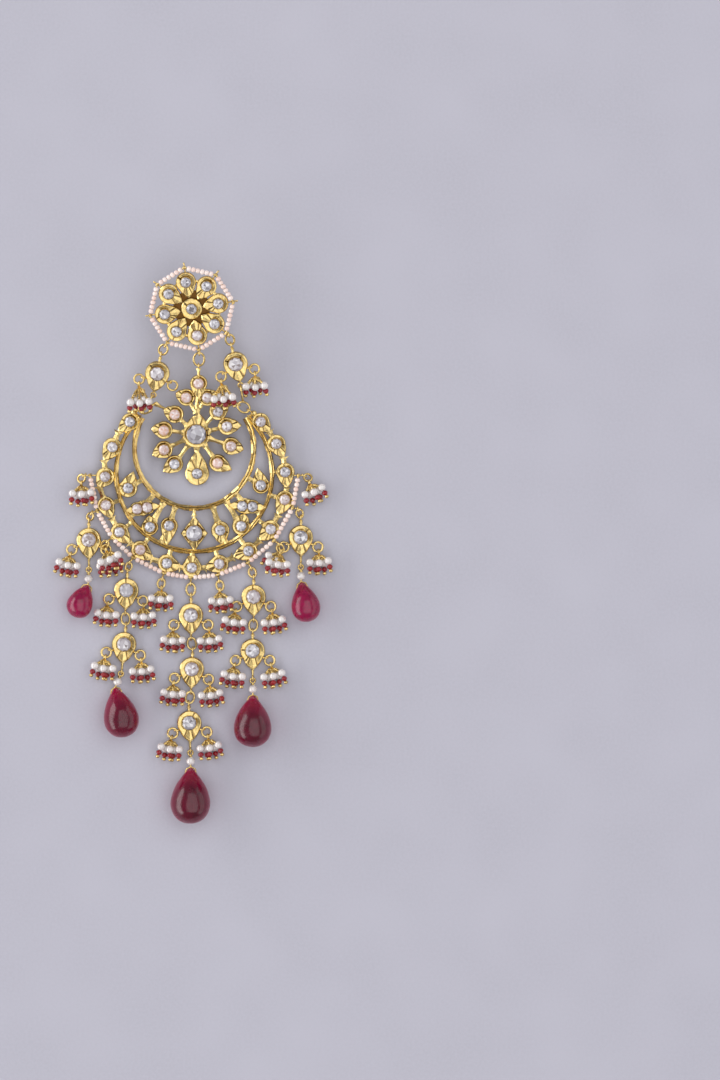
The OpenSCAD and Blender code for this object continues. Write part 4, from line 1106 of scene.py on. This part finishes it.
def add_tassel(pearls, reds, golds, lay, place, side, rise, seed):
    """Five bead pins on a wire eye: each a looped wire, a winding, a pearl, a red and a gold bead.
    The beads lie higher by rise where the tassel lies over something."""
    s = lay.s
    rng = random.Random(seed)
    golds.eye(place, Vector(), 90, lay.eye_r, s.eye_wire)
    golds.eye(place, Vector((0.3 * MM * side, -0.05 * MM, 0)), 78, lay.eye_r * 0.92,
              s.eye_wire * 0.8)
    head = down(lay.eye_r)
    for across, reach, layer, lean in PINS:
        a = math.radians(lean)
        pearl = Vector((side * across * s.tassel_half_w, -reach * s.tassel_reach,
                        lay.lift + (layer - 0.5) * LAYER_H + rise))
        way = Vector((side * math.sin(a), -math.cos(a), 0))
        red = pearl + way * (s.pearl_r + s.red_r * 0.75)
        gold = red + way * (s.red_r + s.gold_r) * 0.8
        top = head.lerp(pearl, 0.3)
        top.x *= 1.25
        above = (top - pearl).normalized()
        start = pearl + above * s.pearl_r * 0.92
        turn = math.degrees(math.atan2(above.y, above.x)) + 24 * layer
        golds.ring(place @ Matrix.Translation(top + above * 0.1 * MM) @ turned(turn)
                   @ Matrix.Rotation(1.1, 4, "X"), 0.42 * MM, THREAD_R, 16, 8)
        golds.tube([place @ head, place @ top, place @ start, place @ pearl], 0.15 * MM, 8)
        golds.coil(place, start, top - above * 0.25 * MM, 0.27 * MM, THREAD_R, 4)
        size = rng.uniform(0.95, 1.0)
        pearls.ball(place @ aimed(pearl, pearl + way), s.pearl_r * size, rng.uniform(0.94, 1.0),
                    24, rng.random())
        reds.ball(place @ aimed(red, red + way), s.red_r * 1.04, 0.86, 18, rng.random())
        golds.ball(place @ aimed(gold, gold + way), s.gold_r * 0.96, 0.9, 16)


def tassels(lay, name, hangs, node_name):
    """The three pieces of a row of tassels: pearls, red beads, gold beads and wires."""
    pearls, reds, golds = Shape(), Shape(), Shape()
    for i, (place, side, rise) in enumerate(hangs):
        add_tassel(pearls, reds, golds, lay, place, side, rise, f"{name} {i}")
    pearls.finished(name + "_pearls", "pearl", node_name)
    reds.finished(name + "_red_beads", "garnet", node_name)
    golds.finished(name + "_gold_wires", "wire", node_name)


def string_post(shape, lay, place, degrees, start, stop, prong):
    """The wire under a bead string, with a ball end if it is a prong."""
    z = lay.post_wire_z
    begin, end = polar(start, degrees, z), polar(stop, degrees, z)
    shape.tube([place @ begin, place @ end], lay.post_wire)
    if prong:
        shape.ball(place @ Matrix.Translation(end), lay.post_wire * 1.25, 1, 12)


def add_string(shape, golds, lay, place, corners, rng, closed):
    """Beads between the corners of a string, and the gold binding at each corner."""
    count = len(corners)
    free, half_coil = 0.62 * MM, 0.42 * MM
    for i in range(count if closed else count - 1):
        a, b = corners[i], corners[(i + 1) % count]
        way = (b - a).normalized()
        shape.beads(place, a + way * free, b - way * free, lay.s.string_r * SEED_WIDTH, rng)
        golds.tube([place @ a, place @ b], THREAD_R, 8)
    for corner in corners:
        out = Vector((corner.x, corner.y, 0)).normalized()
        along = Vector((-out.y, out.x, 0))
        golds.coil(place, corner - along * half_coil, corner + along * half_coil, 0.3 * MM,
                   THREAD_R, 3)
        low = corner.copy()
        low.z = lay.post_wire_z
        mid = corner.lerp(low, 0.5)
        golds.ring(place @ aimed(mid, mid + along), (corner - low).length / 2 + 0.05 * MM,
                   BINDING_R, 18, 8)


class PieceOperator:
    """What each of the earring's operators shares"""
    bl_options = {"REGISTER", "UNDO"}

    def execute(self, context):
        self.build(context, Layout(context.scene.earring_sizes))
        return {"FINISHED"}


class EARRING_OT_table(PieceOperator, bpy.types.Operator):
    """Lay the table, set the lamps and the camera"""
    bl_idname = "earring.table"
    bl_label = "Table and Light"

    def build(self, context, lay):
        self.table(context)
        self.camera(context)
        for lamp in LAMPS:
            self.panel(context, *lamp)
        world = bpy.data.worlds.new("room")
        world.use_nodes = True
        background = world.node_tree.nodes["Background"]
        background.inputs["Color"].default_value = ROOM_LIGHT
        background.inputs["Strength"].default_value = 1.0
        context.scene.world = world
        context.scene.view_settings.view_transform = "Standard"

    def table(self, context):
        steps = TABLE_STEPS
        points = [(TABLE_SIZE * (x / steps - 0.5), TABLE_SIZE * (y / steps - 0.5), 0)
                  for y in range(steps + 1) for x in range(steps + 1)]
        faces = [[y * (steps + 1) + x, y * (steps + 1) + x + 1,
                  (y + 1) * (steps + 1) + x + 1, (y + 1) * (steps + 1) + x]
                 for y in range(steps) for x in range(steps)]
        mesh = bpy.data.meshes.new("table")
        mesh.from_pydata(points, [], faces)
        mesh.materials.append(pale_table())
        table = bpy.data.objects.new("table", mesh)
        context.scene.collection.objects.link(table)

    def camera(self, context):
        """A camera straight above the middle of the photograph, which frames what it frames."""
        camera = bpy.data.cameras.new("camera")
        camera.sensor_fit = "VERTICAL"
        camera.sensor_height = SENSOR
        camera.lens = SENSOR * CAMERA_HEIGHT / (PHOTO_H / PIXELS_PER_MM * MM)
        camera.clip_start = 0.01
        eye = bpy.data.objects.new("camera", camera)
        x = (PHOTO_W / 2 - PHOTO_ZERO[0]) / PIXELS_PER_MM + ORIGIN_SHIFT[0]
        y = (PHOTO_ZERO[1] - PHOTO_H / 2) / PIXELS_PER_MM + ORIGIN_SHIFT[1]
        eye.location = Vector((x, y, 0)) * MM + Vector((0, 0, CAMERA_HEIGHT))
        context.scene.collection.objects.link(eye)
        context.scene.camera = eye

    def panel(self, context, name, degrees, reach, size, watts):
        """A soft light panel that faces the earring."""
        turn = math.radians(degrees)
        light = bpy.data.lights.new(name, "AREA")
        light.shape = "RECTANGLE"
        light.size, light.size_y = size
        light.energy = watts
        lamp = bpy.data.objects.new(name, light)
        at = (reach * math.sin(turn), LAMP_Y, reach * math.cos(turn))
        lamp.matrix_world = Matrix.Translation(at) @ Matrix.Rotation(turn, 4, "Y")
        lamp.visible_camera = False
        context.scene.collection.objects.link(lamp)


class EARRING_OT_stud(PieceOperator, bpy.types.Operator):
    """Build the stud: eight petals about a double collet, their stones, its bead string"""
    bl_idname = "earring.stud"
    bl_label = "Stud"

    def build(self, context, lay):
        s = lay.s
        golds, stones, binding, beads = Shape(), Shape(), Shape(), Shape()
        turn = math.degrees(s.stud_turn)
        # Painted shadow: a back disc all in the deep gold darkens the gaps between the petals
        back, shadow_disc_r = -s.plate / 2, 4.6 * MM
        shadow_disc = [(0, back - 0.3 * MM), (shadow_disc_r - 0.3 * MM, back - 0.3 * MM),
                (shadow_disc_r, back - 0.2 * MM), (shadow_disc_r, back), (0, back + 0.05 * MM)]
        golds.turned_solid(shadow_disc, lay.stud, 48, tone=1.0)
        golds.leaf(lay.stud, round_bed(s.stud_collet_r + 0.25 * MM), round_bed(lay.collet_r), s,
                   40, around=48, tips=())
        add_stone(stones, lay, lay.stud @ turned(20), s.stone_r, 3, square=True)
        reach = s.stud_reach - s.stud_collet_r - 0.35 * MM
        for i in range(STUD_PETALS):
            petal = lay.stud @ turned(turn + STUD_PITCH * i) @ moved(s.stud_reach, 0)
            add_petal(golds, lay, petal @ turned(180), s.stud_petal_r * PETAL_CAST, reach, i,
                      0.15 * MM)
            add_stone(stones, lay, petal, s.stone_r, 5 + i, 0.25 if i == 6 else 0.0)
        for i in range(STUD_PETALS):
            a, b = (polar(s.stud_reach * 1.03, turn + STUD_PITCH * i + off) for off in (13, 32))
            golds.rib(lay.stud, a, b, 0.9 * MM, s, high=0.05 * MM)
        root = s.stud_reach + s.stud_petal_r - 0.8 * MM
        for i, corner in enumerate(lay.stud_corners):
            if i in STUD_EYES:
                string_post(golds, lay, lay.stud, corner, root, lay.stud_eye_r - 0.6 * lay.eye_r,
                            False)
            else:
                string_post(golds, lay, lay.stud, corner, root, s.stud_string_r + 0.95 * MM, True)
        for i, lean in zip(STUD_EYES, STUD_RING_LEAN):
            golds.eye(lay.stud, polar(lay.stud_eye_r, lay.stud_corners[i]), lean + 90, lay.eye_r,
                      s.eye_wire)
        corners = [polar(s.stud_string_r, a, lay.string_z) for a in lay.stud_corners]
        add_string(beads, binding, lay, lay.stud, corners, random.Random(2), True)
        golds.finished("stud_flower_gold", "cut gold", "stud_flower")
        stones.finished("stud_stones", "stone", "stud_centre_stone", "stud_petal_stones")
        beads.finished("stud_string_beads", "seed", "stud_pearl_string")
        binding.finished("stud_string_binding", "wire", "stud_pearl_string")


class EARRING_OT_post(PieceOperator, bpy.types.Operator):
    """Turn the ear post, with a groove and a round end"""
    bl_idname = "earring.post"
    bl_label = "Ear Post"

    def build(self, context, lay):
        s = lay.s
        post = Shape()
        r, full = s.post_r, s.post_len
        profile = [(0, 0), (0.45 * r, 0.02 * MM), (0.8 * r, 0.12 * MM), (r, 0.35 * MM),
                   (r, 1.5 * MM), (0.72 * r, 1.62 * MM), (0.72 * r, 1.98 * MM), (r, 2.1 * MM),
                   (r, full - 0.7 * MM), (r, full - 0.05 * MM), (0.9 * r, full), (0, full)]
        top = -s.plate / 2 - POST_GAP
        post.turned_solid(profile, lay.stud @ moved(0, 0, top - full), 28)
        post.finished("ear_post_gold", "wire", "ear_post")


class EARRING_OT_rings(PieceOperator, bpy.types.Operator):
    """Bend the jump rings that join the parts"""
    bl_idname = "earring.rings"
    bl_label = "Jump Rings"

    def build(self, context, lay):
        wire = lay.s.ring_wire
        upper, horns, edges, strands, sides = Shape(), Shape(), Shape(), Shape(), Shape()
        for a, b in zip(lay.stud_eyes, lay.stud_ring_ends):
            upper.ring_between(a, b, wire)
        for low, top in zip(lay.upper_lows, lay.horn_tops):
            upper.ring_between(low, top, wire, math.pi / 2)
        for i, place in enumerate(lay.upper_side_rings):
            upper.ring(place, TASSEL_RING_R, wire, cut=60 + 40 * i)
        for a, b in lay.horn_pairs:
            horns.ring_between(a, b, wire)
        for (corner, *_), end in zip(EDGE_TASSELS, lay.edge_ring_ends):
            edges.ring_between(lay.corner_eyes[corner], end, wire)
        for rings in lay.strand_rings:
            for i, (a, b) in enumerate(rings):
                strands.ring_between(a, b, wire, cut=80 + 150 * (i % 2))
        for strand in lay.side_rings:
            for i, place in enumerate(strand):
                sides.ring(place, TASSEL_RING_R, wire, cut=70 + 33 * i)
        upper.finished("upper_jump_rings", "wire", "upper_rings")
        horns.finished("horn_jump_rings", "wire", "horn_rings")
        edges.finished("edge_jump_rings", "wire", "edge_rings")
        strands.finished("strand_jump_rings", "wire", "strand_rings")
        sides.finished("tassel_jump_rings", "wire", "strand_tassel_rings")


class EARRING_OT_rosette(PieceOperator, bpy.types.Operator):
    """Build the rosette: its core, petals, stems and arms, and its stones"""
    bl_idname = "earring.rosette"
    bl_label = "Rosette"

    def build(self, context, lay):
        s = lay.s
        golds, stones = Shape(), Shape()
        core_r = s.rosette_core_r
        golds.leaf(lay.rosette @ turned(85), round_with_tips(core_r, CORE_TIP * core_r),
                   round_bed(s.core_stone_r + STONE_GAP + s.collet_wall), s, 50, 0.2 * MM, 84)
        add_stone(stones, lay, lay.rosette @ turned(22.5), s.core_stone_r, 8)
        spots = [polar(share * s.rosette_reach, angle) for angle, share, *_ in ROSETTE]
        for i, ((_, _, way, r, tip, warm), spot) in enumerate(zip(ROSETTE, spots)):
            place = lay.rosette @ Matrix.Translation(spot)
            add_petal(golds, lay, place @ turned(way), r * s.rosette_petal_r * PETAL_CAST,
                      tip * s.rosette_petal_r, 60 + i)
            add_stone(stones, lay, place, s.stone_r, 30 + i, warm)
        for i, spot in enumerate(spots):
            from_core = i < CORE_PETALS
            start = Vector() if from_core else Vector((0, CORE_TIP * core_r, 0))
            way = (spot - start).normalized()
            begin = start + way * (core_r * 0.92 if from_core else 0)
            golds.rib(lay.rosette, begin, spot - way * lay.collet_r, 1.15 * MM, s)
        golds.rib(lay.rosette, Vector((0, 1.5 * core_r, 0)),
                  Vector((0.4 * MM, 1.25 * s.rosette_reach, 0)), 1.0 * MM, s)
        for arm, way, spot in zip(lay.arm_ends, lay.horn_ways, (spots[0], spots[8])):
            elbow = arm - way * (lay.eye_r + 0.35 * MM)
            golds.rib(lay.rosette, spot, elbow, 0.8 * MM, s)
            golds.tube([lay.rosette @ elbow, lay.rosette @ (arm - way * lay.eye_r * 0.9)],
                       0.3 * MM)
            golds.ball(lay.rosette @ Matrix.Translation(elbow), 0.45 * MM, 1, 14)
            golds.eye(lay.rosette, arm, math.degrees(math.atan2(way.y, way.x)), lay.eye_r,
                      s.eye_wire)
        golds.eye(lay.rosette, lay.rosette_eye, 90, lay.eye_r, s.eye_wire)
        golds.rib(lay.rosette, spots[-1], lay.rosette_eye + down(lay.eye_r * 0.95), 0.7 * MM, s)
        golds.finished("rosette_gold", "cut gold", "rosette_frame")
        stones.finished("rosette_stones", "stone", "rosette_centre_stone", "rosette_petal_stones")


class EARRING_OT_crescent(PieceOperator, bpy.types.Operator):
    """Build the crescent: its rims, leaves, stones and bead string"""
    bl_idname = "earring.crescent"
    bl_label = "Crescent"

    def build(self, context, lay):
        s = lay.s
        golds, binding, beads = Shape(), Shape(), Shape()
        flat = lay.crescent
        golds.rim(flat, s.rim_r, s.rim_w * 1.25, RIM_FROM, s, 7)
        golds.rim(flat @ moved(0, s.rim_offset), s.inner_rim_r, s.rim_w * 1.4, INNER_FROM, s, 8)
        outer = self.outer_row(golds, lay, flat)
        inner = self.inner_row(golds, lay, flat)
        centre = self.middle(golds, lay, flat)
        for i, corner in enumerate(CORNERS):
            string_post(golds, lay, flat, corner, s.rim_r * 1.2, lay.edge_eye_r - 0.6 * lay.eye_r,
                        False)
            golds.eye(flat, polar(lay.edge_eye_r, corner), 90 + lay.corner_leans[i], lay.eye_r,
                      s.eye_wire)
        for eye, way, root in zip(lay.horn_eyes, lay.horn_ways, (RIM_FROM, 180 - RIM_FROM)):
            pad = eye + way * (lay.eye_r + 0.8 * MM)
            golds.rib(flat, polar(s.rim_r, root), pad, s.rim_w, s)
            golds.ball(flat @ Matrix.Translation(pad), 0.78 * MM, 0.75, 18)
            golds.eye(flat, eye, math.degrees(math.atan2(way.y, way.x)), lay.eye_r, s.eye_wire)
        corners = [polar(s.string_ring_r, a, lay.string_z) for a in CORNERS]
        add_string(beads, binding, lay, flat, corners, random.Random(4), False)
        golds.finished("crescent_gold", "cut gold", "crescent_frame")
        outer.finished("crescent_outer_gems", "stone", "crescent_outer_stones")
        inner.finished("crescent_inner_gems", "stone", "crescent_inner_stones")
        centre.finished("crescent_centre_gem", "stone", "crescent_centre_stone")
        beads.finished("crescent_string_beads", "seed", "crescent_pearl_string")
        binding.finished("crescent_string_binding", "wire", "crescent_pearl_string")

    def outer_row(self, golds, lay, flat):
        """The leaves outside the rim. A bar joins most tips to the next leaf. Gives the stones."""
        s = lay.s
        stones = Shape()
        spots = [polar(share * s.rim_r, angle) for angle, share, *_ in OUTER]
        for i, (spot, (angle, _, way, r, tip)) in enumerate(zip(spots, OUTER)):
            place = flat @ Matrix.Translation(spot)
            add_petal(golds, lay, place @ turned(way), r * s.leaf_r, tip * s.leaf_r, 80 + i)
            add_stone(stones, lay, place, s.stone_r, 50 + i, OUTER_WARM.get(i, 0.08 * (i % 3)))
            golds.rib(flat, polar(s.rim_r, angle), spot - spot.normalized() * lay.collet_r,
                      1.3 * MM, s)
            point = spot + polar(tip * s.leaf_r - 0.5 * MM, way)
            near = min(spots[max(i - 1, 0):i] + spots[i + 1:i + 2],
                       key=lambda other: (other - point).length)
            if i != OUTER_UPRIGHT and (near - point).length < TIP_BAR_REACH:
                back = (point - near).normalized() * lay.collet_r
                golds.rib(flat, point, near + back, 1.5 * MM, s)
        return stones

    def inner_row(self, golds, lay, flat):
        """The leaves between the rims, two of them with twin stones. Gives the stones."""
        s = lay.s
        stones = Shape()
        centre = Vector((0, s.rim_offset, 0))
        step = s.stone_r + TWIN_GAP
        twins = twin_bed(s.stone_r + 0.29 * MM, step)
        for i, (angle, share, way, r, tip, back) in enumerate(INNER):
            spot = centre + polar(share * s.inner_rim_r, angle)
            place = flat @ Matrix.Translation(spot) @ turned(way)
            outline = round_with_tips(r * s.leaf_r, tip * s.leaf_r, back * s.leaf_r)
            tint = 0.35 if i == INNER_WARM else 0.0
            if back:
                golds.leaf(place, lambda a, rim=outline: max(rim(a), twins(a) + 0.35 * MM), twins,
                           s, 100 + i, 0.15 * MM, 84, (0.0, math.pi))
                for side in (-1, 1):
                    add_stone(stones, lay, place @ moved(side * step, 0), s.stone_r - 0.03 * MM,
                              70 + 2 * i + side, tint)
            else:
                golds.leaf(place, outline, round_bed(lay.collet_r), s, 100 + i, 0.15 * MM, 60)
                add_stone(stones, lay, place, s.stone_r, 70 + 2 * i, tint)
            root = centre + polar(s.inner_rim_r, angle)
            golds.rib(flat, root, spot + (root - spot).normalized() * lay.collet_r, 1.5 * MM, s)
            away = spot.normalized()
            golds.rib(flat, spot + away * lay.collet_r, away * s.rim_r, 1.5 * MM, s)
        return stones

    def middle(self, golds, lay, flat):
        """The four-pointed plate in the crescent's middle. Gives its stone."""
        s = lay.s
        stone = Shape()
        at = Vector((0, s.rim_offset - MIDDLE * s.inner_rim_r, 0))
        place = flat @ Matrix.Translation(at)
        golds.leaf(place, diamond(*MIDDLE_HALF),
                   round_bed(s.centre_stone_r + STONE_GAP + s.collet_wall), s, 120, 0.2 * MM,
                   tips=tuple(math.pi / 2 * i for i in range(4)))
        add_stone(stone, lay, place @ turned(22.5), s.centre_stone_r, 90)
        half = Vector((0, MIDDLE_HALF[1] * 0.95, 0))
        golds.rib(flat, Vector((0, s.rim_offset - s.inner_rim_r, 0)), at + half, 0.9 * MM, s)
        golds.rib(flat, at - half, Vector((0, -s.rim_r, 0)), 0.9 * MM, s)
        return stone


class EARRING_OT_links(PieceOperator, bpy.types.Operator):
    """Build the leaf links and their stones"""
    bl_idname = "earring.links"
    bl_label = "Leaf Links"

    def build(self, context, lay):
        for k, side in enumerate(("left", "right")):
            gold, stone = Shape(), Shape()
            add_link(gold, lay, lay.upper_links[k], SHORT_EYE, True, 130 + k)
            add_link_stone(stone, lay, lay.upper_links[k], 130 + k, 0.1)
            gold.finished(f"upper_leaf_{side}", "cut gold", f"upper_link_{side}")
            stone.finished(f"upper_gem_{side}", "stone", f"upper_stone_{side}")
        for strand, places in enumerate(lay.links):
            stones = Shape()
            for i, place in enumerate(places):
                gold = Shape()
                seed = 140 + 10 * strand + i
                last = i == len(places) - 1
                add_link(gold, lay, place, LONG_EYE if last else SHORT_EYE, False, seed)
                tail = "_" + "abc"[i] if len(places) > 1 else ""
                gold.finished(f"strand_{strand + 1}_leaf{tail}", "cut gold",
                              f"strand_{strand + 1}_link{tail}")
                add_link_stone(stones, lay, place, seed, 0.08 * (seed % 3))
            stones.finished(f"strand_{strand + 1}_gems", "stone", f"strand_{strand + 1}_stones")


class EARRING_OT_tassels(PieceOperator, bpy.types.Operator):
    """String the bead tassels"""
    bl_idname = "earring.tassels"
    bl_label = "Tassels"

    def build(self, context, lay):
        tassels(lay, "upper_tassel", lay.upper_hangs, "upper_tassels")
        tassels(lay, "edge_tassel", lay.edge_hangs, "edge_tassels")
        for strand, hangs in enumerate(lay.strand_hangs):
            tassels(lay, f"strand_{strand + 1}_tassel", hangs, f"strand_{strand + 1}_tassels")


class EARRING_OT_drops(PieceOperator, bpy.types.Operator):
    """Hang the red drops on their wires, below their pearls"""
    bl_idname = "earring.drops"
    bl_label = "Red Drops"

    def build(self, context, lay):
        s = lay.s
        pearls, wires = Shape(), Shape()
        for i, (place, (w, long)) in enumerate(zip(lay.drops, lay.drop_sizes)):
            self.drop(i, place, w, long)
            self.wire(wires, lay, lay.wires[i], place)
            at = down(lay.eye_r + lay.pearl_at)
            pearls.ball(lay.wires[i] @ aimed(at, at + down(MM)), s.drop_pearl_r * 0.99, 0.95, 26,
                        i / 5)
        pearls.finished("drop_pearl_beads", "pearl", "drop_pearls")
        wires.finished("drop_bails", "wire", "drop_wires")

    def drop(self, i, place, w, long):
        """One polished drop, a little uneven as a stone is."""
        shape = Shape()
        bands = 44
        profile = []
        for k in range(bands + 1):
            t = k / bands
            r = 0 if k in (0, bands) else w / 2 * pear(t) / PEAR_MAX
            profile.append((r, long * (1 - math.cos(math.pi * t)) / 2))
        shape.turned_solid(profile, place @ Matrix.Rotation(math.pi / 2, 4, "X"), 56)
        shape.finished(f"ruby_gem_{i + 1}", "drop", f"ruby_drop_{i + 1}", uneven=0.06 * MM,
                       bright=i in BRIGHT_DROPS)

    def wire(self, shape, lay, wire, place):
        """The loop above the pearl, its winding, and the bail that runs round the drop's tip."""
        s = lay.s
        loop = 2 * lay.eye_r
        shape.ring(wire @ Matrix.Translation(down(lay.eye_r)), lay.eye_r, BAIL_R * 1.1, 26)
        pearl = lay.eye_r + lay.pearl_at
        shape.tube([wire @ down(loop), wire @ down(pearl + s.drop_pearl_r + 0.2 * MM)], BAIL_R)
        shape.coil(wire, down(loop - 0.05 * MM), down(pearl - s.drop_pearl_r * 0.97),
                   0.3 * MM, 0.13 * MM, 3)
        neck = wire @ down(pearl + s.drop_pearl_r + 0.38 * MM)
        shape.ball(Matrix.Translation(neck), 0.27 * MM, 1, 14)
        for side in (-1, 1):
            bore = Vector((side * 1.42 * MM, -1.7 * MM, 0))
            shoulder = Vector((side * 1.06 * MM, -0.51 * MM, 0))
            inside = bore - Vector((side * 0.5 * MM, 0.02 * MM, 0))
            shape.tube([neck, place @ shoulder, place @ bore, place @ inside], BAIL_R)
            shape.ball(place @ Matrix.Translation(bore), BAIL_R * 1.2, 1, 12)


class EARRING_PT_panel(bpy.types.Panel):
    """The earring's operators, sizes and colours"""
    bl_idname = "EARRING_PT_panel"
    bl_label = "Chandbali Earring"
    bl_space_type = "VIEW_3D"
    bl_region_type = "UI"
    bl_category = "Earring"

    def draw(self, context):
        column = self.layout.column(align=True)
        for operator in OPERATORS:
            column.operator(operator.bl_idname)
        for group in (context.scene.earring_sizes, context.scene.earring_colours):
            box = self.layout.box().column(align=True)
            for name in group.__annotations__:
                box.prop(group, name)


OPERATORS = (
    EARRING_OT_table, EARRING_OT_stud, EARRING_OT_post, EARRING_OT_rings, EARRING_OT_rosette,
    EARRING_OT_crescent, EARRING_OT_links, EARRING_OT_tassels, EARRING_OT_drops,
)
CLASSES = (EarringSizes, EarringColours, *OPERATORS, EARRING_PT_panel)


def register():
    for each in CLASSES:
        bpy.utils.register_class(each)
    bpy.types.Scene.earring_sizes = PointerProperty(type=EarringSizes)
    bpy.types.Scene.earring_colours = PointerProperty(type=EarringColours)


def unregister():
    del bpy.types.Scene.earring_sizes
    del bpy.types.Scene.earring_colours
    for each in reversed(CLASSES):
        bpy.utils.unregister_class(each)


def main():
    register()
    for operator in OPERATORS:
        group, name = operator.bl_idname.split(".")
        getattr(getattr(bpy.ops, group), name)()
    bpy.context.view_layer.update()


if __name__ == "__main__":
    main()
